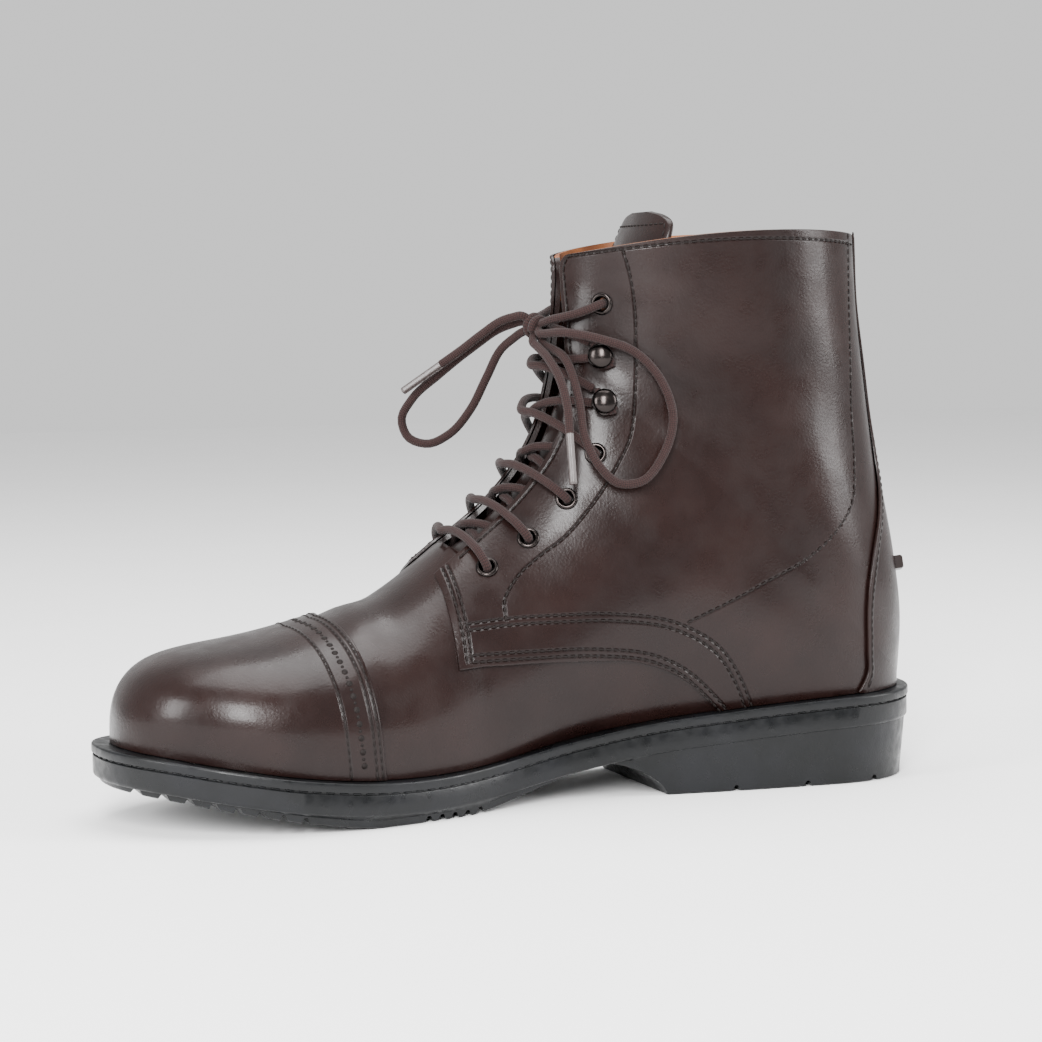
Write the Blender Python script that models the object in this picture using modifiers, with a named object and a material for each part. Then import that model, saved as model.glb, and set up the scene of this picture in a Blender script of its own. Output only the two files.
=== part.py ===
"""Right paddock boot: toe cap, derby quarters, lace hooks and a moulded rubber sole.

The boot stands on its sole.  +Z is up, the toe points along -Y and the medial side faces +X.
Distances along the foot are counted from the back of the sole towards the toe.
All sizes are in metres.
"""
import math

import bmesh
import bpy
import numpy as np
from mathutils import Matrix, Vector

# Sole
SOLE_LENGTH = 0.293
BALL_WIDTH = 0.103
WAIST_WIDTH = 0.068
HEEL_WIDTH = 0.070
SEAT_HEIGHT = 0.0315
FOREPART_HEIGHT = 0.0142
TOE_SPRING = 0.0122
TOE_SWING = 0.005
WELT_THICKNESS = 0.0030
GROOVE_HEIGHT = 0.0008
GROOVE_DEPTH = 0.0011
WALL_DEPTH = 0.0108
EDGE_CHAMFER = 0.0008
TREAD_INSET = 0.0026
TREAD_DEPTH = 0.0024
HEEL_BREAST = 0.101
BREAST_SLOPE = 0.021

# Last and upper
TOE_MARGIN = 0.0076
HEEL_MARGIN = 0.0063
SIDE_MARGIN = 0.0062
INSTEP_HEIGHT = 0.066
COLLAR_HEIGHT = 0.1902
COLLAR_DROP = 0.0065
COLLAR_LENGTH = 0.107
COLLAR_WIDTH = 0.064
ANKLE_WIDTH = 0.070
COLLAR_BOW = 0.0040
BACK_LEAN = 0.0150
THROAT_GAP = 0.030
COLLAR_GAP = 0.004

# Walls and clearances
UPPER_WALL = 0.0017
OVERLAY_WALL = 0.0011
STRAP_WALL = 0.0009
FIT_GAP = 0.0003
CURVED_GAP = 0.0004
STRAP_GAP = 0.0006
INSOLE_THICKNESS = 0.003
INSOLE_GAP = 0.0018
TONGUE_WALL = 0.0022

# Half widths along the foot, as shares of half of the named width
OUTLINE_ROWS = (
    # along, gauge, medial, lateral
    (0.00, "heel", 1.00, 1.00),
    (0.13, "heel", 1.00, 1.00),
    (0.26, "heel", 0.95, 1.00),
    (0.36, "waist", 0.90, 1.05),
    (0.45, "waist", 0.88, 1.13),
    (0.54, "ball", 0.66, 0.86),
    (0.63, "ball", 0.86, 1.00),
    (0.71, "ball", 0.98, 1.02),
    (0.79, "ball", 1.02, 0.96),
    (0.88, "ball", 1.00, 0.86),
    (1.00, "ball", 0.94, 0.72),
)
HEEL_ROUND = 0.125
HEEL_BEND = 2.25
TOE_ROUND = 0.21
TOE_BEND = 2.15
SWING_START = 0.60

# Top of the sole, as shares of the heel's rise and of the toe spring
TOP_LINE_ROWS = (
    # along, heel rise, toe rise
    (0.00, 1.00, 0.00),
    (0.16, 0.90, 0.00),
    (0.26, 0.79, 0.00),
    (0.37, 0.61, 0.00),
    (0.47, 0.34, 0.00),
    (0.56, 0.08, 0.00),
    (0.64, 0.00, 0.00),
    (0.72, 0.00, 0.06),
    (0.80, 0.00, 0.28),
    (0.88, 0.00, 0.60),
    (0.94, 0.00, 0.84),
    (1.00, 0.00, 1.00),
)

# Thickness of the sole ahead of the heel, as a share of the forepart's height
THICKNESS_ROWS = (
    # along, thickness
    (0.345, 0.76),
    (0.42, 0.76),
    (0.47, 0.80),
    (0.52, 0.90),
    (0.585, 1.02),
    (0.72, 1.04),
    (0.80, 0.98),
    (1.00, 0.88),
)

# Upright sections of the vamp, from the throat to the toe
THROAT_ALONG = 0.585
VAMP_ROWS = (
    # along, crest over instep height, fullness, belly, dome
    (0.565, 1.165, 1.12, 0.32, 1.90),
    (0.610, 1.020, 1.08, 0.30, 1.92),
    (0.668, 0.856, 1.04, 0.28, 1.95),
    (0.725, 0.765, 1.02, 0.28, 2.02),
    (0.780, 0.671, 1.02, 0.29, 2.12),
    (0.845, 0.575, 1.02, 0.31, 2.25),
    (0.920, 0.485, 1.02, 0.33, 2.40),
    (1.000, 0.430, 1.02, 0.34, 2.40),
)
TOE_BOX_ROUND = 0.13
TOE_BOX_BEND = 3.0

# Sections that turn from the throat, round the heel, to the collar
ANKLE_ROWS = (
    # foot, back climb, crest reach, crest climb, gauge, medial, lateral, belly, back bend, dome
    (0.513, 0.000, 0.808, 0.068, "ankle", 1.03, 1.17, 0.34, 2.00, 1.88),
    (0.441, 0.000, 0.616, 0.145, "ankle", 0.98, 1.07, 0.37, 2.00, 1.86),
    (0.369, 0.000, 0.448, 0.229, "ankle", 0.96, 1.02, 0.40, 2.00, 1.86),
    (0.290, 0.000, 0.305, 0.317, "ankle", 0.97, 1.00, 0.42, 2.05, 1.90),
    (0.2075, 0.000, 0.209, 0.400, "ankle", 0.99, 1.00, 0.42, 2.10, 1.94),
    (0.128, 0.000, 0.149, 0.478, "ankle", 0.99, 1.00, 0.41, 2.15, 1.97),
    (0.0636, 0.000, 0.113, 0.546, "ankle", 0.98, 0.98, 0.40, 2.20, 2.00),
    (0.0205, 0.000, 0.084, 0.603, "ankle", 0.97, 0.97, 0.39, 2.20, 2.00),
    (0.000, 0.000, 0.065, 0.648, "ankle", 0.96, 0.96, 0.38, 2.20, 2.00),
    (0.000, 0.063, 0.050, 0.689, "ankle", 0.95, 0.95, 0.38, 2.20, 2.00),
    (0.000, 0.145, 0.034, 0.736, "ankle", 0.93, 0.93, 0.38, 2.15, 2.00),
    (0.000, 0.272, 0.017, 0.785, "ankle", 0.91, 0.91, 0.40, 2.10, 2.00),
    (0.000, 0.386, 0.005, 0.834, "ankle", 0.90, 0.90, 0.42, 2.10, 2.00),
    (0.000, 0.525, -0.002, 0.878, "ankle", 0.89, 0.89, 0.44, 2.10, 2.00),
    (0.000, 0.670, -0.007, 0.917, "ankle", 0.89, 0.89, 0.45, 2.10, 2.00),
    (0.000, 0.810, -0.007, 0.950, "collar", 0.98, 0.98, 0.46, 2.10, 2.00),
    (0.000, 0.910, -0.005, 0.977, "collar", 0.99, 0.99, 0.46, 2.10, 2.00),
    (0.000, 1.000, 0.000, 1.000, "collar", 1.00, 1.00, 0.46, 2.10, 2.00),
)

# Line of the back seam, as shares of the climb to the collar and of its lean
BACK_ROWS = (
    # climb, lean
    (0.000, 0.00),
    (0.145, -0.11),
    (0.290, 0.05),
    (0.430, 0.33),
    (0.640, 0.65),
    (0.840, 0.90),
    (1.000, 1.00),
)

# Opening between the facings, from the throat's gap to the collar's gap
GAP_ROWS = (
    # climb of the crest, share of the change
    (0.00, 0.00),
    (0.07, 0.10),
    (0.15, 0.13),
    (0.25, 0.11),
    (0.36, 0.07),
    (0.47, 0.10),
    (0.58, 0.26),
    (0.74, 0.62),
    (0.85, 0.82),
    (1.00, 1.00),
)

# Lower cut edge of the quarters, as the arc above the sole over the instep height
QUARTER_ROWS = (
    # step, arc
    (0.94, 0.510),
    (2.16, 0.486),
    (3.57, 0.418),
    (4.40, 0.356),
    (4.75, 0.290),
    (5.05, 0.176),
    (5.24, 0.000),
)

# Front edge of the counter, as the arc from the sole or from the back seam over the heel width
COUNTER_ROWS = (
    # step, arc
    (7.70, 0.02),
    (8.30, 0.14),
    (9.00, 0.32),
    (9.60, 0.46),
    (10.0, 0.61),
    (10.8, 0.63),
    (11.7, 0.61),
    (12.6, 0.52),
    (13.6, 0.36),
    (14.4, 0.21),
    (15.2, 0.13),
    (16.5, 0.10),
    (19.0, 0.10),
)

# Sections of the tongue, which lies behind the facings and leans back at its top
TONGUE_ROWS = (
    # step, rise above the collar, depth behind the crest, curve kept, half width
    (0.82, 0.000, 0.0034, 1.00, 0.0150),
    (1.00, 0.000, 0.0036, 1.00, 0.0205),
    (2.00, 0.000, 0.0038, 1.00, 0.0215),
    (3.50, 0.000, 0.0040, 1.00, 0.0215),
    (5.50, 0.000, 0.0042, 1.00, 0.0205),
    (8.00, 0.000, 0.0052, 0.98, 0.0195),
    (11.0, 0.000, 0.0085, 0.85, 0.0187),
    (13.5, 0.000, 0.0130, 0.65, 0.0192),
    (15.5, 0.000, 0.0170, 0.48, 0.0205),
    (17.5, 0.000, 0.0200, 0.36, 0.0220),
    (19.0, 0.000, 0.0220, 0.30, 0.0230),
    (19.0, 0.0050, 0.0236, 0.30, 0.0230),
    (19.0, 0.0090, 0.0250, 0.30, 0.0210),
    (19.0, 0.0115, 0.0260, 0.30, 0.0155),
    (19.0, 0.0130, 0.0266, 0.30, 0.0070),
)

# Lace fastenings up each facing
LACE_ROWS = (
    # kind, step, distance from the facing's edge over the facing margin
    ("eyelet", 1.58, 0.83),
    ("eyelet", 3.12, 0.91),
    ("eyelet", 4.73, 0.95),
    ("eyelet", 6.56, 1.00),
    ("hook", 8.87, 1.01),
    ("hook", 11.96, 1.01),
    ("eyelet", 14.95, 1.04),
)
FACING_MARGIN = 0.0162

# Cuts across the tread, as shares of the sole's length
TREAD_CUTS = tuple(0.585 + 0.017 * count for count in range(5)) + tuple(
    0.80 + 0.024 * count for count in range(8)
)
HEEL_CUTS = (0.08, 0.17, 0.26)

# Lacing
LACE_DIAMETER = 0.0030
EYELET_DIAMETER = 0.0076
EYELET_BORE = 0.0044
EYELET_HEIGHT = 0.0010
EYELET_BARREL = 0.0052
HOOK_HEAD = 0.0086
HOOK_BASE = 0.0076
HOOK_NECK = 0.0036
HOOK_HEIGHT = 0.0078

LACE_GAP = 0.0004
LACE_SPACING = 0.0065
BAR_POINTS = 9
HOOK_SPREAD = 0.42
KNOT_CLIMB = 0.737
TAIL_CLIMB = 0.74
KNOT_LIFT = 0.0072
KNOT_RADIUS = 0.0040
AGLET_LENGTH = 0.018
AGLET_DIAMETER = 0.0024

# Bow: forward, medial and upward offsets from the knot over the bow's reach
BOW_REACH = 0.050
MEDIAL_LOOP_ROWS = (
    # forward, medial, up
    (0.000, 0.120, -0.052),
    (-0.090, 0.325, -0.042),
    (-0.275, 0.495, -0.085),
    (-0.512, 0.550, -0.178),
    (-0.688, 0.620, -0.398),
    (-0.748, 0.640, -0.624),
    (-0.674, 0.660, -0.856),
    (-0.482, 0.680, -1.046),
    (-0.350, 0.650, -1.050),
    (-0.225, 0.640, -0.946),
    (-0.145, 0.570, -0.760),
    (-0.128, 0.480, -0.472),
    (-0.085, 0.345, -0.215),
    (-0.030, 0.120, -0.128),
)
LATERAL_LOOP_ROWS = (
    # forward, medial, up
    (0.085, -0.110, 0.030),
    (0.190, -0.195, -0.015),
    (0.330, -0.310, -0.130),
    (0.534, -0.500, -0.330),
    (0.690, -0.630, -0.500),
    (0.752, -0.680, -0.640),
    (0.720, -0.650, -0.760),
    (0.610, -0.550, -0.810),
    (0.480, -0.440, -0.740),
    (0.360, -0.335, -0.570),
    (0.266, -0.260, -0.350),
    (0.180, -0.180, -0.150),
    (0.090, -0.090, -0.055),
)
MEDIAL_END_ROWS = (
    # forward, medial, up
    (0.045, 0.085, -0.110),
    (0.010, 0.280, -0.215),
    (-0.020, 0.430, -0.360),
    (-0.035, 0.520, -0.540),
    (-0.030, 0.570, -0.710),
)
LATERAL_END_ROWS = (
    # forward, medial, up
    (0.105, -0.020, 0.075),
    (0.200, -0.090, 0.045),
    (0.320, -0.190, -0.050),
    (0.440, -0.290, -0.160),
    (0.550, -0.390, -0.255),
)

# Spur rest at the back of the counter
SPUR_REST_STEP = 12.75
SPUR_REST_HEIGHT = 0.0040
SPUR_REST_WIDTH = 0.024
SPUR_REST_DEPTH = 0.0028

CAP_CREST = 0.748
CAP_FOOT = 0.716
CAP_ROWS = 9

MESH_COLUMNS = 11
COLUMN_CROWDING = 0.42
STATIONS = 28
SAMPLES = 97
NORMAL_STEP = 0.02
NORMAL_SHARE = 0.012
SHARP_ANGLE = 40
TURNS = 8
THROAT_STEP = 1.0
BACK_STEP = 10.0
UPPER_STEPS = (
    0.0, 0.08, 0.17, 0.27, 0.38, 0.49, 0.61, 0.74, 0.86, 0.95, 1.0, 1.06,
    1.7, 2.4, 3.2, 4.1, 4.7, 5.05, 5.24, 6.0, 6.9, 7.7, 8.3, 8.9, 9.4, 9.8, 10.0,
    10.6, 11.3, 12.0, 12.8, 13.6, 14.4, 15.3, 16.4, 17.6, 19.0,
)
QUARTER_FRONT = 0.95

LAST_LENGTH = SOLE_LENGTH - TOE_MARGIN - HEEL_MARGIN
GAUGES = {
    "heel": HEEL_WIDTH,
    "waist": WAIST_WIDTH,
    "ball": BALL_WIDTH,
    "ankle": ANKLE_WIDTH,
    "collar": COLLAR_WIDTH,
}
MEDIAL = 1
LATERAL = -1


def column(rows, index):
    """Return one column of a table as an array."""
    return np.array([row[index] for row in rows], float)


def smooth(places, values, at):
    """Read a smooth curve through a table's values at one place or several."""
    slopes = np.gradient(values, places)
    at = np.clip(at, places[0], places[-1])
    low = np.clip(np.searchsorted(places, at, side="right") - 1, 0, len(places) - 2)
    span = places[low + 1] - places[low]
    t = (at - places[low]) / span
    start = (2 * t**3 - 3 * t**2 + 1) * values[low] + (t**3 - 2 * t**2 + t) * span * slopes[low]
    end = (3 * t**2 - 2 * t**3) * values[low + 1] + (t**3 - t**2) * span * slopes[low + 1]
    return start + end


def rounded(distance, bend):
    """Return the width left by a rounded end, for a distance of 0 to 1 into it."""
    return (1 - np.clip(distance, 0, 1) ** bend) ** (1 / bend)


def outline(along, side, margin=0.0, toe_margin=0.0, heel_margin=0.0):
    """Return the place along the foot and the sideways reach of the outline of the sole."""
    half = np.array([GAUGES[row[1]] / 2 - margin for row in OUTLINE_ROWS])
    half = half * column(OUTLINE_ROWS, 2 if side == MEDIAL else 3)
    reach = smooth(column(OUTLINE_ROWS, 0), half, along)
    reach = reach * rounded(1 - along / HEEL_ROUND, HEEL_BEND)
    reach = reach * rounded((along - 1 + TOE_ROUND) / TOE_ROUND, TOE_BEND)
    place = heel_margin + along * (SOLE_LENGTH - heel_margin - toe_margin)
    return place, centre_line(place) + side * reach


def centre_line(place):
    """Return the sideways swing of the middle of the forefoot."""
    forward = np.clip((place / SOLE_LENGTH - SWING_START) / (1 - SWING_START), 0, 1)
    return TOE_SWING * forward**1.5


def sole_top(place):
    """Return the height of the top of the sole at a place along it."""
    along = np.clip(place / SOLE_LENGTH, 0, 1)
    heel = smooth(column(TOP_LINE_ROWS, 0), column(TOP_LINE_ROWS, 1), along)
    toe = smooth(column(TOP_LINE_ROWS, 0), column(TOP_LINE_ROWS, 2), along)
    return FOREPART_HEIGHT + (SEAT_HEIGHT - FOREPART_HEIGHT) * heel + TOE_SPRING * toe


def sole_bottom(place):
    """Return the height of the tread, which is flat under the heel and under the ball."""
    place = np.asarray(place, float)
    along = np.clip(place / SOLE_LENGTH, 0, 1)
    thick = FOREPART_HEIGHT * smooth(column(THICKNESS_ROWS, 0), column(THICKNESS_ROWS, 1), along)
    bottom = np.maximum(sole_top(place) - thick, 0)
    breast = np.clip((place - HEEL_BREAST) / BREAST_SLOPE, 0, 1)
    return bottom * breast**0.6


def back_seam(climb):
    """Return the place and height of the back seam of the upper."""
    lean = smooth(column(BACK_ROWS, 0), column(BACK_ROWS, 1), climb)
    seat = sole_top(HEEL_MARGIN) + FIT_GAP
    return HEEL_MARGIN + BACK_LEAN * lean, seat + climb * (COLLAR_HEIGHT - seat)


def vamp_section(along):
    """Return an upright section of the vamp: its foot, crest, widths and bends."""
    places = column(VAMP_ROWS, 0)
    crest, fullness, belly, dome = (smooth(places, column(VAMP_ROWS, k), along) for k in range(1, 5))
    place, medial = outline(along, MEDIAL, SIDE_MARGIN, TOE_MARGIN, HEEL_MARGIN)
    lateral = outline(along, LATERAL, SIDE_MARGIN, TOE_MARGIN, HEEL_MARGIN)[1]
    seat = sole_top(place) + FIT_GAP
    crest = crest * rounded((along - 1 + TOE_BOX_ROUND) / TOE_BOX_ROUND, TOE_BOX_BEND)
    middle = centre_line(place)
    foot = (medial - middle, middle - lateral)
    widest = (fullness * foot[0], fullness * foot[1])
    return np.array([
        place, seat, place, seat + INSTEP_HEIGHT * crest,
        widest[0], widest[1], foot[0], foot[1], belly, 2.0, dome, middle, 0.0,
    ])


def ankle_table():
    """Return the turned sections as numbers, with the vamp's last two ahead of them."""
    throat = vamp_section(THROAT_ALONG)
    front = HEEL_MARGIN + BACK_LEAN + COLLAR_LENGTH
    rise = COLLAR_HEIGHT - COLLAR_DROP - throat[3]
    rows = []
    for along in (2 * THROAT_ALONG - ANKLE_ROWS[0][0], THROAT_ALONG):
        part = vamp_section(along)
        rows.append([along, 0.0, part[2], part[3], part[4], part[5], part[8], part[9], part[10], part[11]])
    for foot, climb, reach, crest, gauge, medial, lateral, belly, bend, dome in ANKLE_ROWS:
        half = GAUGES[gauge] / 2
        rows.append([
            foot, climb, front + reach * (throat[2] - front), throat[3] + crest * rise,
            half * medial, half * lateral, belly, bend, dome, 0.0,
        ])
    return np.array(rows)


ANKLE_TABLE = ankle_table()
ANKLE_COUNT = len(ANKLE_ROWS)
COLLAR_STEP = 1.0 + ANKLE_COUNT


def step_at(along):
    """Return the step of the upright section at a share of the last's length."""
    return math.acos(1 - (1 - along) / (1 - THROAT_ALONG)) * 2 / math.pi


def section(step):
    """Return the section at a step: 0 at the toe, 1 at the throat, then one a row to the collar."""
    if step <= 1:
        return vamp_section(1 - (1 - THROAT_ALONG) * (1 - math.cos(step * math.pi / 2)))
    values = [float(smooth(np.arange(len(ANKLE_TABLE)), ANKLE_TABLE[:, k], step)) for k in range(10)]
    foot, climb, crest_place, crest_height, medial, lateral, belly, bend, dome, middle = values
    foot = max(foot, 0.0)
    climb = max(climb, 0.0)
    if foot > 0:
        place, near = outline(foot, MEDIAL, SIDE_MARGIN, TOE_MARGIN, HEEL_MARGIN)
        far = outline(foot, LATERAL, SIDE_MARGIN, TOE_MARGIN, HEEL_MARGIN)[1]
        height = sole_top(place) + FIT_GAP
    else:
        place, height = back_seam(climb)
        near = far = 0.0
    bow = COLLAR_BOW * climb**3
    return np.array([
        place, height, crest_place, crest_height,
        medial, lateral, abs(near - middle), abs(far - middle), belly, bend, dome, middle, bow,
    ])


def rib(step, side):
    """Return points along a section, from its foot or back to its crest, and their arc lengths."""
    part = section(step)
    widest = part[4] if side == MEDIAL else part[5]
    foot = part[6] if side == MEDIAL else part[7]
    belly, bend, dome = part[8:11]
    if step <= 0:
        return np.tile([part[0], 0.0, part[1]], (SAMPLES, 1)) + [0, part[11], 0], np.zeros(SAMPLES)
    base = min(foot / widest, 0.985)
    below = belly / (1 - base**bend) ** (1 / bend)
    start = math.acos(base ** (bend / 2))
    turn = np.linspace(-start, math.pi / 2, SAMPLES)
    power = np.where(turn < 0, 2 / bend, 2 / dome)
    rise = np.sign(turn) * np.abs(np.sin(turn)) ** power
    share = belly + rise * np.where(turn < 0, below, 1 - belly)
    reach = widest * np.cos(turn).clip(0) ** power
    share[0] = 0.0
    along = part[0:2]
    across = part[2:4] - along
    normal = np.array([across[1], -across[0]]) / max(np.hypot(*across), 1e-9)
    bowed = part[12] * 4 * share * (1 - share)
    place = along[0] + across[0] * share - normal[0] * bowed
    height = along[1] + across[1] * share - normal[1] * bowed
    points = np.stack([place, part[11] + side * reach, height], axis=1)
    lengths = np.concatenate([[0], np.cumsum(np.linalg.norm(np.diff(points, axis=0), axis=1))])
    return points, lengths


def skin(step, side, shares, lift=0.0):
    """Return points of the upper's outer surface at shares of a section's arc, raised by a lift."""
    shares = np.asarray(shares, float)
    points, lengths = rib(step, side)
    if lengths[-1] == 0:
        return np.tile(points[0] + [lift, 0, 0], (len(shares), 1))

    def read(ribbon, ribbon_lengths, at):
        return np.stack([np.interp(at * ribbon_lengths[-1], ribbon_lengths, ribbon[:, k]) for k in range(3)], 1)

    place = read(points, lengths, shares)
    if lift == 0:
        return place
    lowest, highest = (BACK_STEP, COLLAR_STEP) if step >= BACK_STEP else (NORMAL_STEP / 10, BACK_STEP)
    before = rib(max(step - NORMAL_STEP, lowest), side)
    after = rib(min(step + NORMAL_STEP, highest), side)
    along = read(*after, shares) - read(*before, shares)
    low = np.clip(shares - NORMAL_SHARE, 0, 1)
    high = np.clip(shares + NORMAL_SHARE, 0, 1)
    around = read(points, lengths, high) - read(points, lengths, low)
    normal = np.cross(along, around) * side
    normal[on_seam(step, shares), 1] = 0
    normal = normal / np.maximum(np.linalg.norm(normal, axis=1), 1e-12)[:, None]
    raised = place + normal * lift
    raised[:, 2] = np.maximum(raised[:, 2], sole_top(raised[:, 0]) + FIT_GAP)
    return raised


def on_seam(step, shares):
    """Tell which points lie on the middle plane, where the two sides meet."""
    crest = shares > 1 - 1e-9
    back = (shares < 1e-9) & (step >= BACK_STEP)
    return crest | back


def arc_length(step, side):
    """Return the length of a section's arc on one side."""
    return rib(step, side)[1][-1]


def facing_share(step, side, extra=0.0):
    """Return the share of a section's arc at the edge of the facing, or further back by an extra."""
    start = section(1.0)[3]
    climb = (section(step)[3] - start) / (COLLAR_HEIGHT - COLLAR_DROP - start)
    change = smooth(column(GAP_ROWS, 0), column(GAP_ROWS, 1), climb)
    half = (THROAT_GAP + (COLLAR_GAP - THROAT_GAP) * change) / 2
    return 1 - (half + extra) / arc_length(step, side)


def shell(name, steps, start, end, inner, outer, finish, bend=None, columns=0):
    """Make a closed wall between two lifts of the upper's surface.

    start and end give, for a step and a side, the shares of the section's arc that the wall covers.
    The wall's columns are those of the upper, cut off at the start and the end, so that overlays
    lie flat on each other, unless a number of columns of its own is given.
    Walls that reach the back seam or the crest are joined there across the middle.
    bend, if given, moves a step by an amount that depends on the share.
    """
    index = {}
    outside = []
    inside = []
    width = columns or MESH_COLUMNS
    for row, step in enumerate(steps):
        for side in (MEDIAL, LATERAL):
            low = start(step, side)
            high = end(step, side)
            if columns:
                shares = np.linspace(low, high, columns + 1)
                first, last = 0, columns
            else:
                grid = column_shares()
                first = max(int(np.sum(grid <= low)) - 1, 0)
                last = min(int(np.sum(grid < high)), MESH_COLUMNS)
                shares = np.clip(grid, low, high)
            if bend is None:
                out = skin(step, side, shares, outer)
                back = skin(step, side, shares, inner)
            else:
                out = [skin(bend(step, share), side, [share], outer)[0] for share in shares]
                back = [skin(bend(step, share), side, [share], inner)[0] for share in shares]
            seams = on_seam(step, shares)
            for k in range(width + 1):
                held = min(max(k, first), last)
                if step == 0:
                    key = (row, 0, 0)
                else:
                    key = (row, 0 if seams[held] else side, held)
                if key not in index:
                    index[key] = len(outside)
                    outside.append(out[held])
                    inside.append(back[held])
                index[(row, side, "at", k)] = index[key]
    faces = []
    for row in range(len(steps) - 1):
        for side in (MEDIAL, LATERAL):
            for k in range(width):
                corners = [index[(row, side, "at", k)], index[(row, side, "at", k + 1)],
                           index[(row + 1, side, "at", k + 1)], index[(row + 1, side, "at", k)]]
                corners = list(dict.fromkeys(corners))
                faces.append(corners if side == MEDIAL else corners[:1] + corners[:0:-1])
    return walled(name, outside, inside, faces, finish)


def column_shares():
    """Return the shares of an arc at the upper's columns, closer together at both ends."""
    even = np.linspace(0, 1, MESH_COLUMNS + 1)
    return even - COLUMN_CROWDING * np.sin(2 * math.pi * even) / (2 * math.pi)


def walled(name, outside, inside, faces, finish):
    """Make a closed solid from an outer skin, an inner skin and the rims between them."""
    build = bmesh.new()
    outer = [build.verts.new(to_frame(point)) for point in outside]
    inner = [build.verts.new(to_frame(point)) for point in inside]
    used = set()
    for corners in faces:
        for third in range(2, len(corners)):
            triangle = [corners[0], corners[third - 1], corners[third]]
            build.faces.new([outer[k] for k in triangle])
            build.faces.new([inner[k] for k in reversed(triangle)])
            used.update(zip(triangle, triangle[1:] + triangle[:1]))
    for a, b in used:
        if (b, a) not in used:
            build.faces.new([outer[b], outer[a], inner[a], inner[b]])
    for loose in [vert for vert in build.verts if not vert.link_faces]:
        build.verts.remove(loose)
    return finished(name, build, finish)


def finished(name, build, finish):
    """Turn a closed mesh into a named object with a material."""
    bmesh.ops.triangulate(build, faces=build.faces)
    bmesh.ops.recalc_face_normals(build, faces=build.faces)
    mesh = bpy.data.meshes.new(name)
    build.to_mesh(mesh)
    build.free()
    return placed(name, mesh, finish)


def placed(name, mesh, finish):
    """Put a mesh into the boot's collection as a named object with a material."""
    mesh.shade_smooth()
    mesh.set_sharp_from_angle(angle=math.radians(SHARP_ANGLE))
    mesh.materials.clear()
    mesh.materials.append(finish)
    made = bpy.data.objects.new(name, mesh)
    BOOT.objects.link(made)
    return made


def cutter(name, build):
    """Put a cutting shape into the cutters' collection, hidden from renders."""
    mesh = bpy.data.meshes.new(name)
    build.to_mesh(mesh)
    build.free()
    made = bpy.data.objects.new(name, mesh)
    CUTTERS.objects.link(made)
    made.hide_render = True
    made.display_type = "WIRE"
    return made


def cut(body, tool):
    """Cut a body by a cutting shape."""
    modifier = body.modifiers.new(tool.name, "BOOLEAN")
    modifier.operation = "DIFFERENCE"
    modifier.solver = "EXACT"
    modifier.object = tool


def outline_middle():
    """Return the sideways middle of the outline of the sole."""
    along = np.linspace(0, 1, 400)
    medial = max(outline(along, MEDIAL)[1])
    lateral = min(outline(along, LATERAL)[1])
    return (medial + lateral) / 2


def to_frame(point):
    """Turn a place along the foot, a sideways reach and a height into the frame's X, Y and Z."""
    return Vector((point[1] - MIDDLE, SOLE_LENGTH / 2 - point[0], point[2]))


def finish_of(name, colour, roughness, metallic=0.0):
    """Make a plain surface of one colour."""
    material = bpy.data.materials.new(name)
    material.use_nodes = True
    surface = material.node_tree.nodes["Principled BSDF"]
    surface.inputs["Base Color"].default_value = (*colour, 1.0)
    surface.inputs["Roughness"].default_value = roughness
    surface.inputs["Metallic"].default_value = metallic
    return material


def stations():
    """Return shares along the sole, close at both ends and at the heel's breast."""
    shares = list((1 - np.cos(np.linspace(0, math.pi, STATIONS))) / 2)
    shares += [(HEEL_BREAST + BREAST_SLOPE * step) / SOLE_LENGTH for step in (0, 0.12, 0.35, 0.65, 1)]
    return np.unique(np.round(shares, 4))


def ringed(name, levels, along, finish):
    """Make a closed solid from levels, each a set of side, toe and heel margins and a height."""
    build = bmesh.new()
    rings = []
    count = len(along)
    for margins, height in levels:
        loop = []
        for side, order in ((MEDIAL, along), (LATERAL, along[-2:0:-1])):
            place, reach = outline(order, side, *margins)
            loop += list(np.stack([place, reach, height(place)], axis=1))
        rings.append([build.verts.new(to_frame(point)) for point in loop])
    size = len(rings[0])
    for upper, lower in zip(rings, rings[1:]):
        for k in range(size):
            following = (k + 1) % size
            build.faces.new([upper[k], lower[k], lower[following], upper[following]])
    for level in (rings[0], rings[-1]):
        for k in range(count - 1):
            corners = [level[k], level[k + 1], level[(size - k - 1) % size], level[(size - k) % size]]
            build.faces.new(list(dict.fromkeys(corners)))
    return finished(name, build, finish)


def sole():
    """Make the moulded sole: welt strip, groove, side wall, tread and heel in one piece."""
    groove = WELT_THICKNESS + GROOVE_HEIGHT
    wall_margin = 0.3 * GROOVE_DEPTH

    def below(depth):
        return lambda place: sole_top(place) - depth

    def foot(rise):
        return lambda place: np.minimum(
            sole_bottom(place) + rise,
            sole_top(place) - WALL_DEPTH - 0.2 * EDGE_CHAMFER * (2 if rise == 0 else 1),
        )

    levels = []
    for margin, height in (
        (EDGE_CHAMFER, below(0)),
        (0.0, below(EDGE_CHAMFER)),
        (0.0, below(WELT_THICKNESS)),
        (GROOVE_DEPTH, below(WELT_THICKNESS)),
        (GROOVE_DEPTH, below(groove)),
        (wall_margin, below(groove)),
        (wall_margin, below(WALL_DEPTH - EDGE_CHAMFER)),
        (wall_margin + EDGE_CHAMFER, below(WALL_DEPTH)),
        (TREAD_INSET, foot(TREAD_DEPTH)),
        (TREAD_INSET + 0.2 * EDGE_CHAMFER, foot(0)),
    ):
        levels.append(((margin, margin, margin), height))
    body = ringed("sole", levels, stations(), MATERIALS["rubber"])
    cut(body, cutter("tread_cuts", tread_cuts()))
    return body


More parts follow.
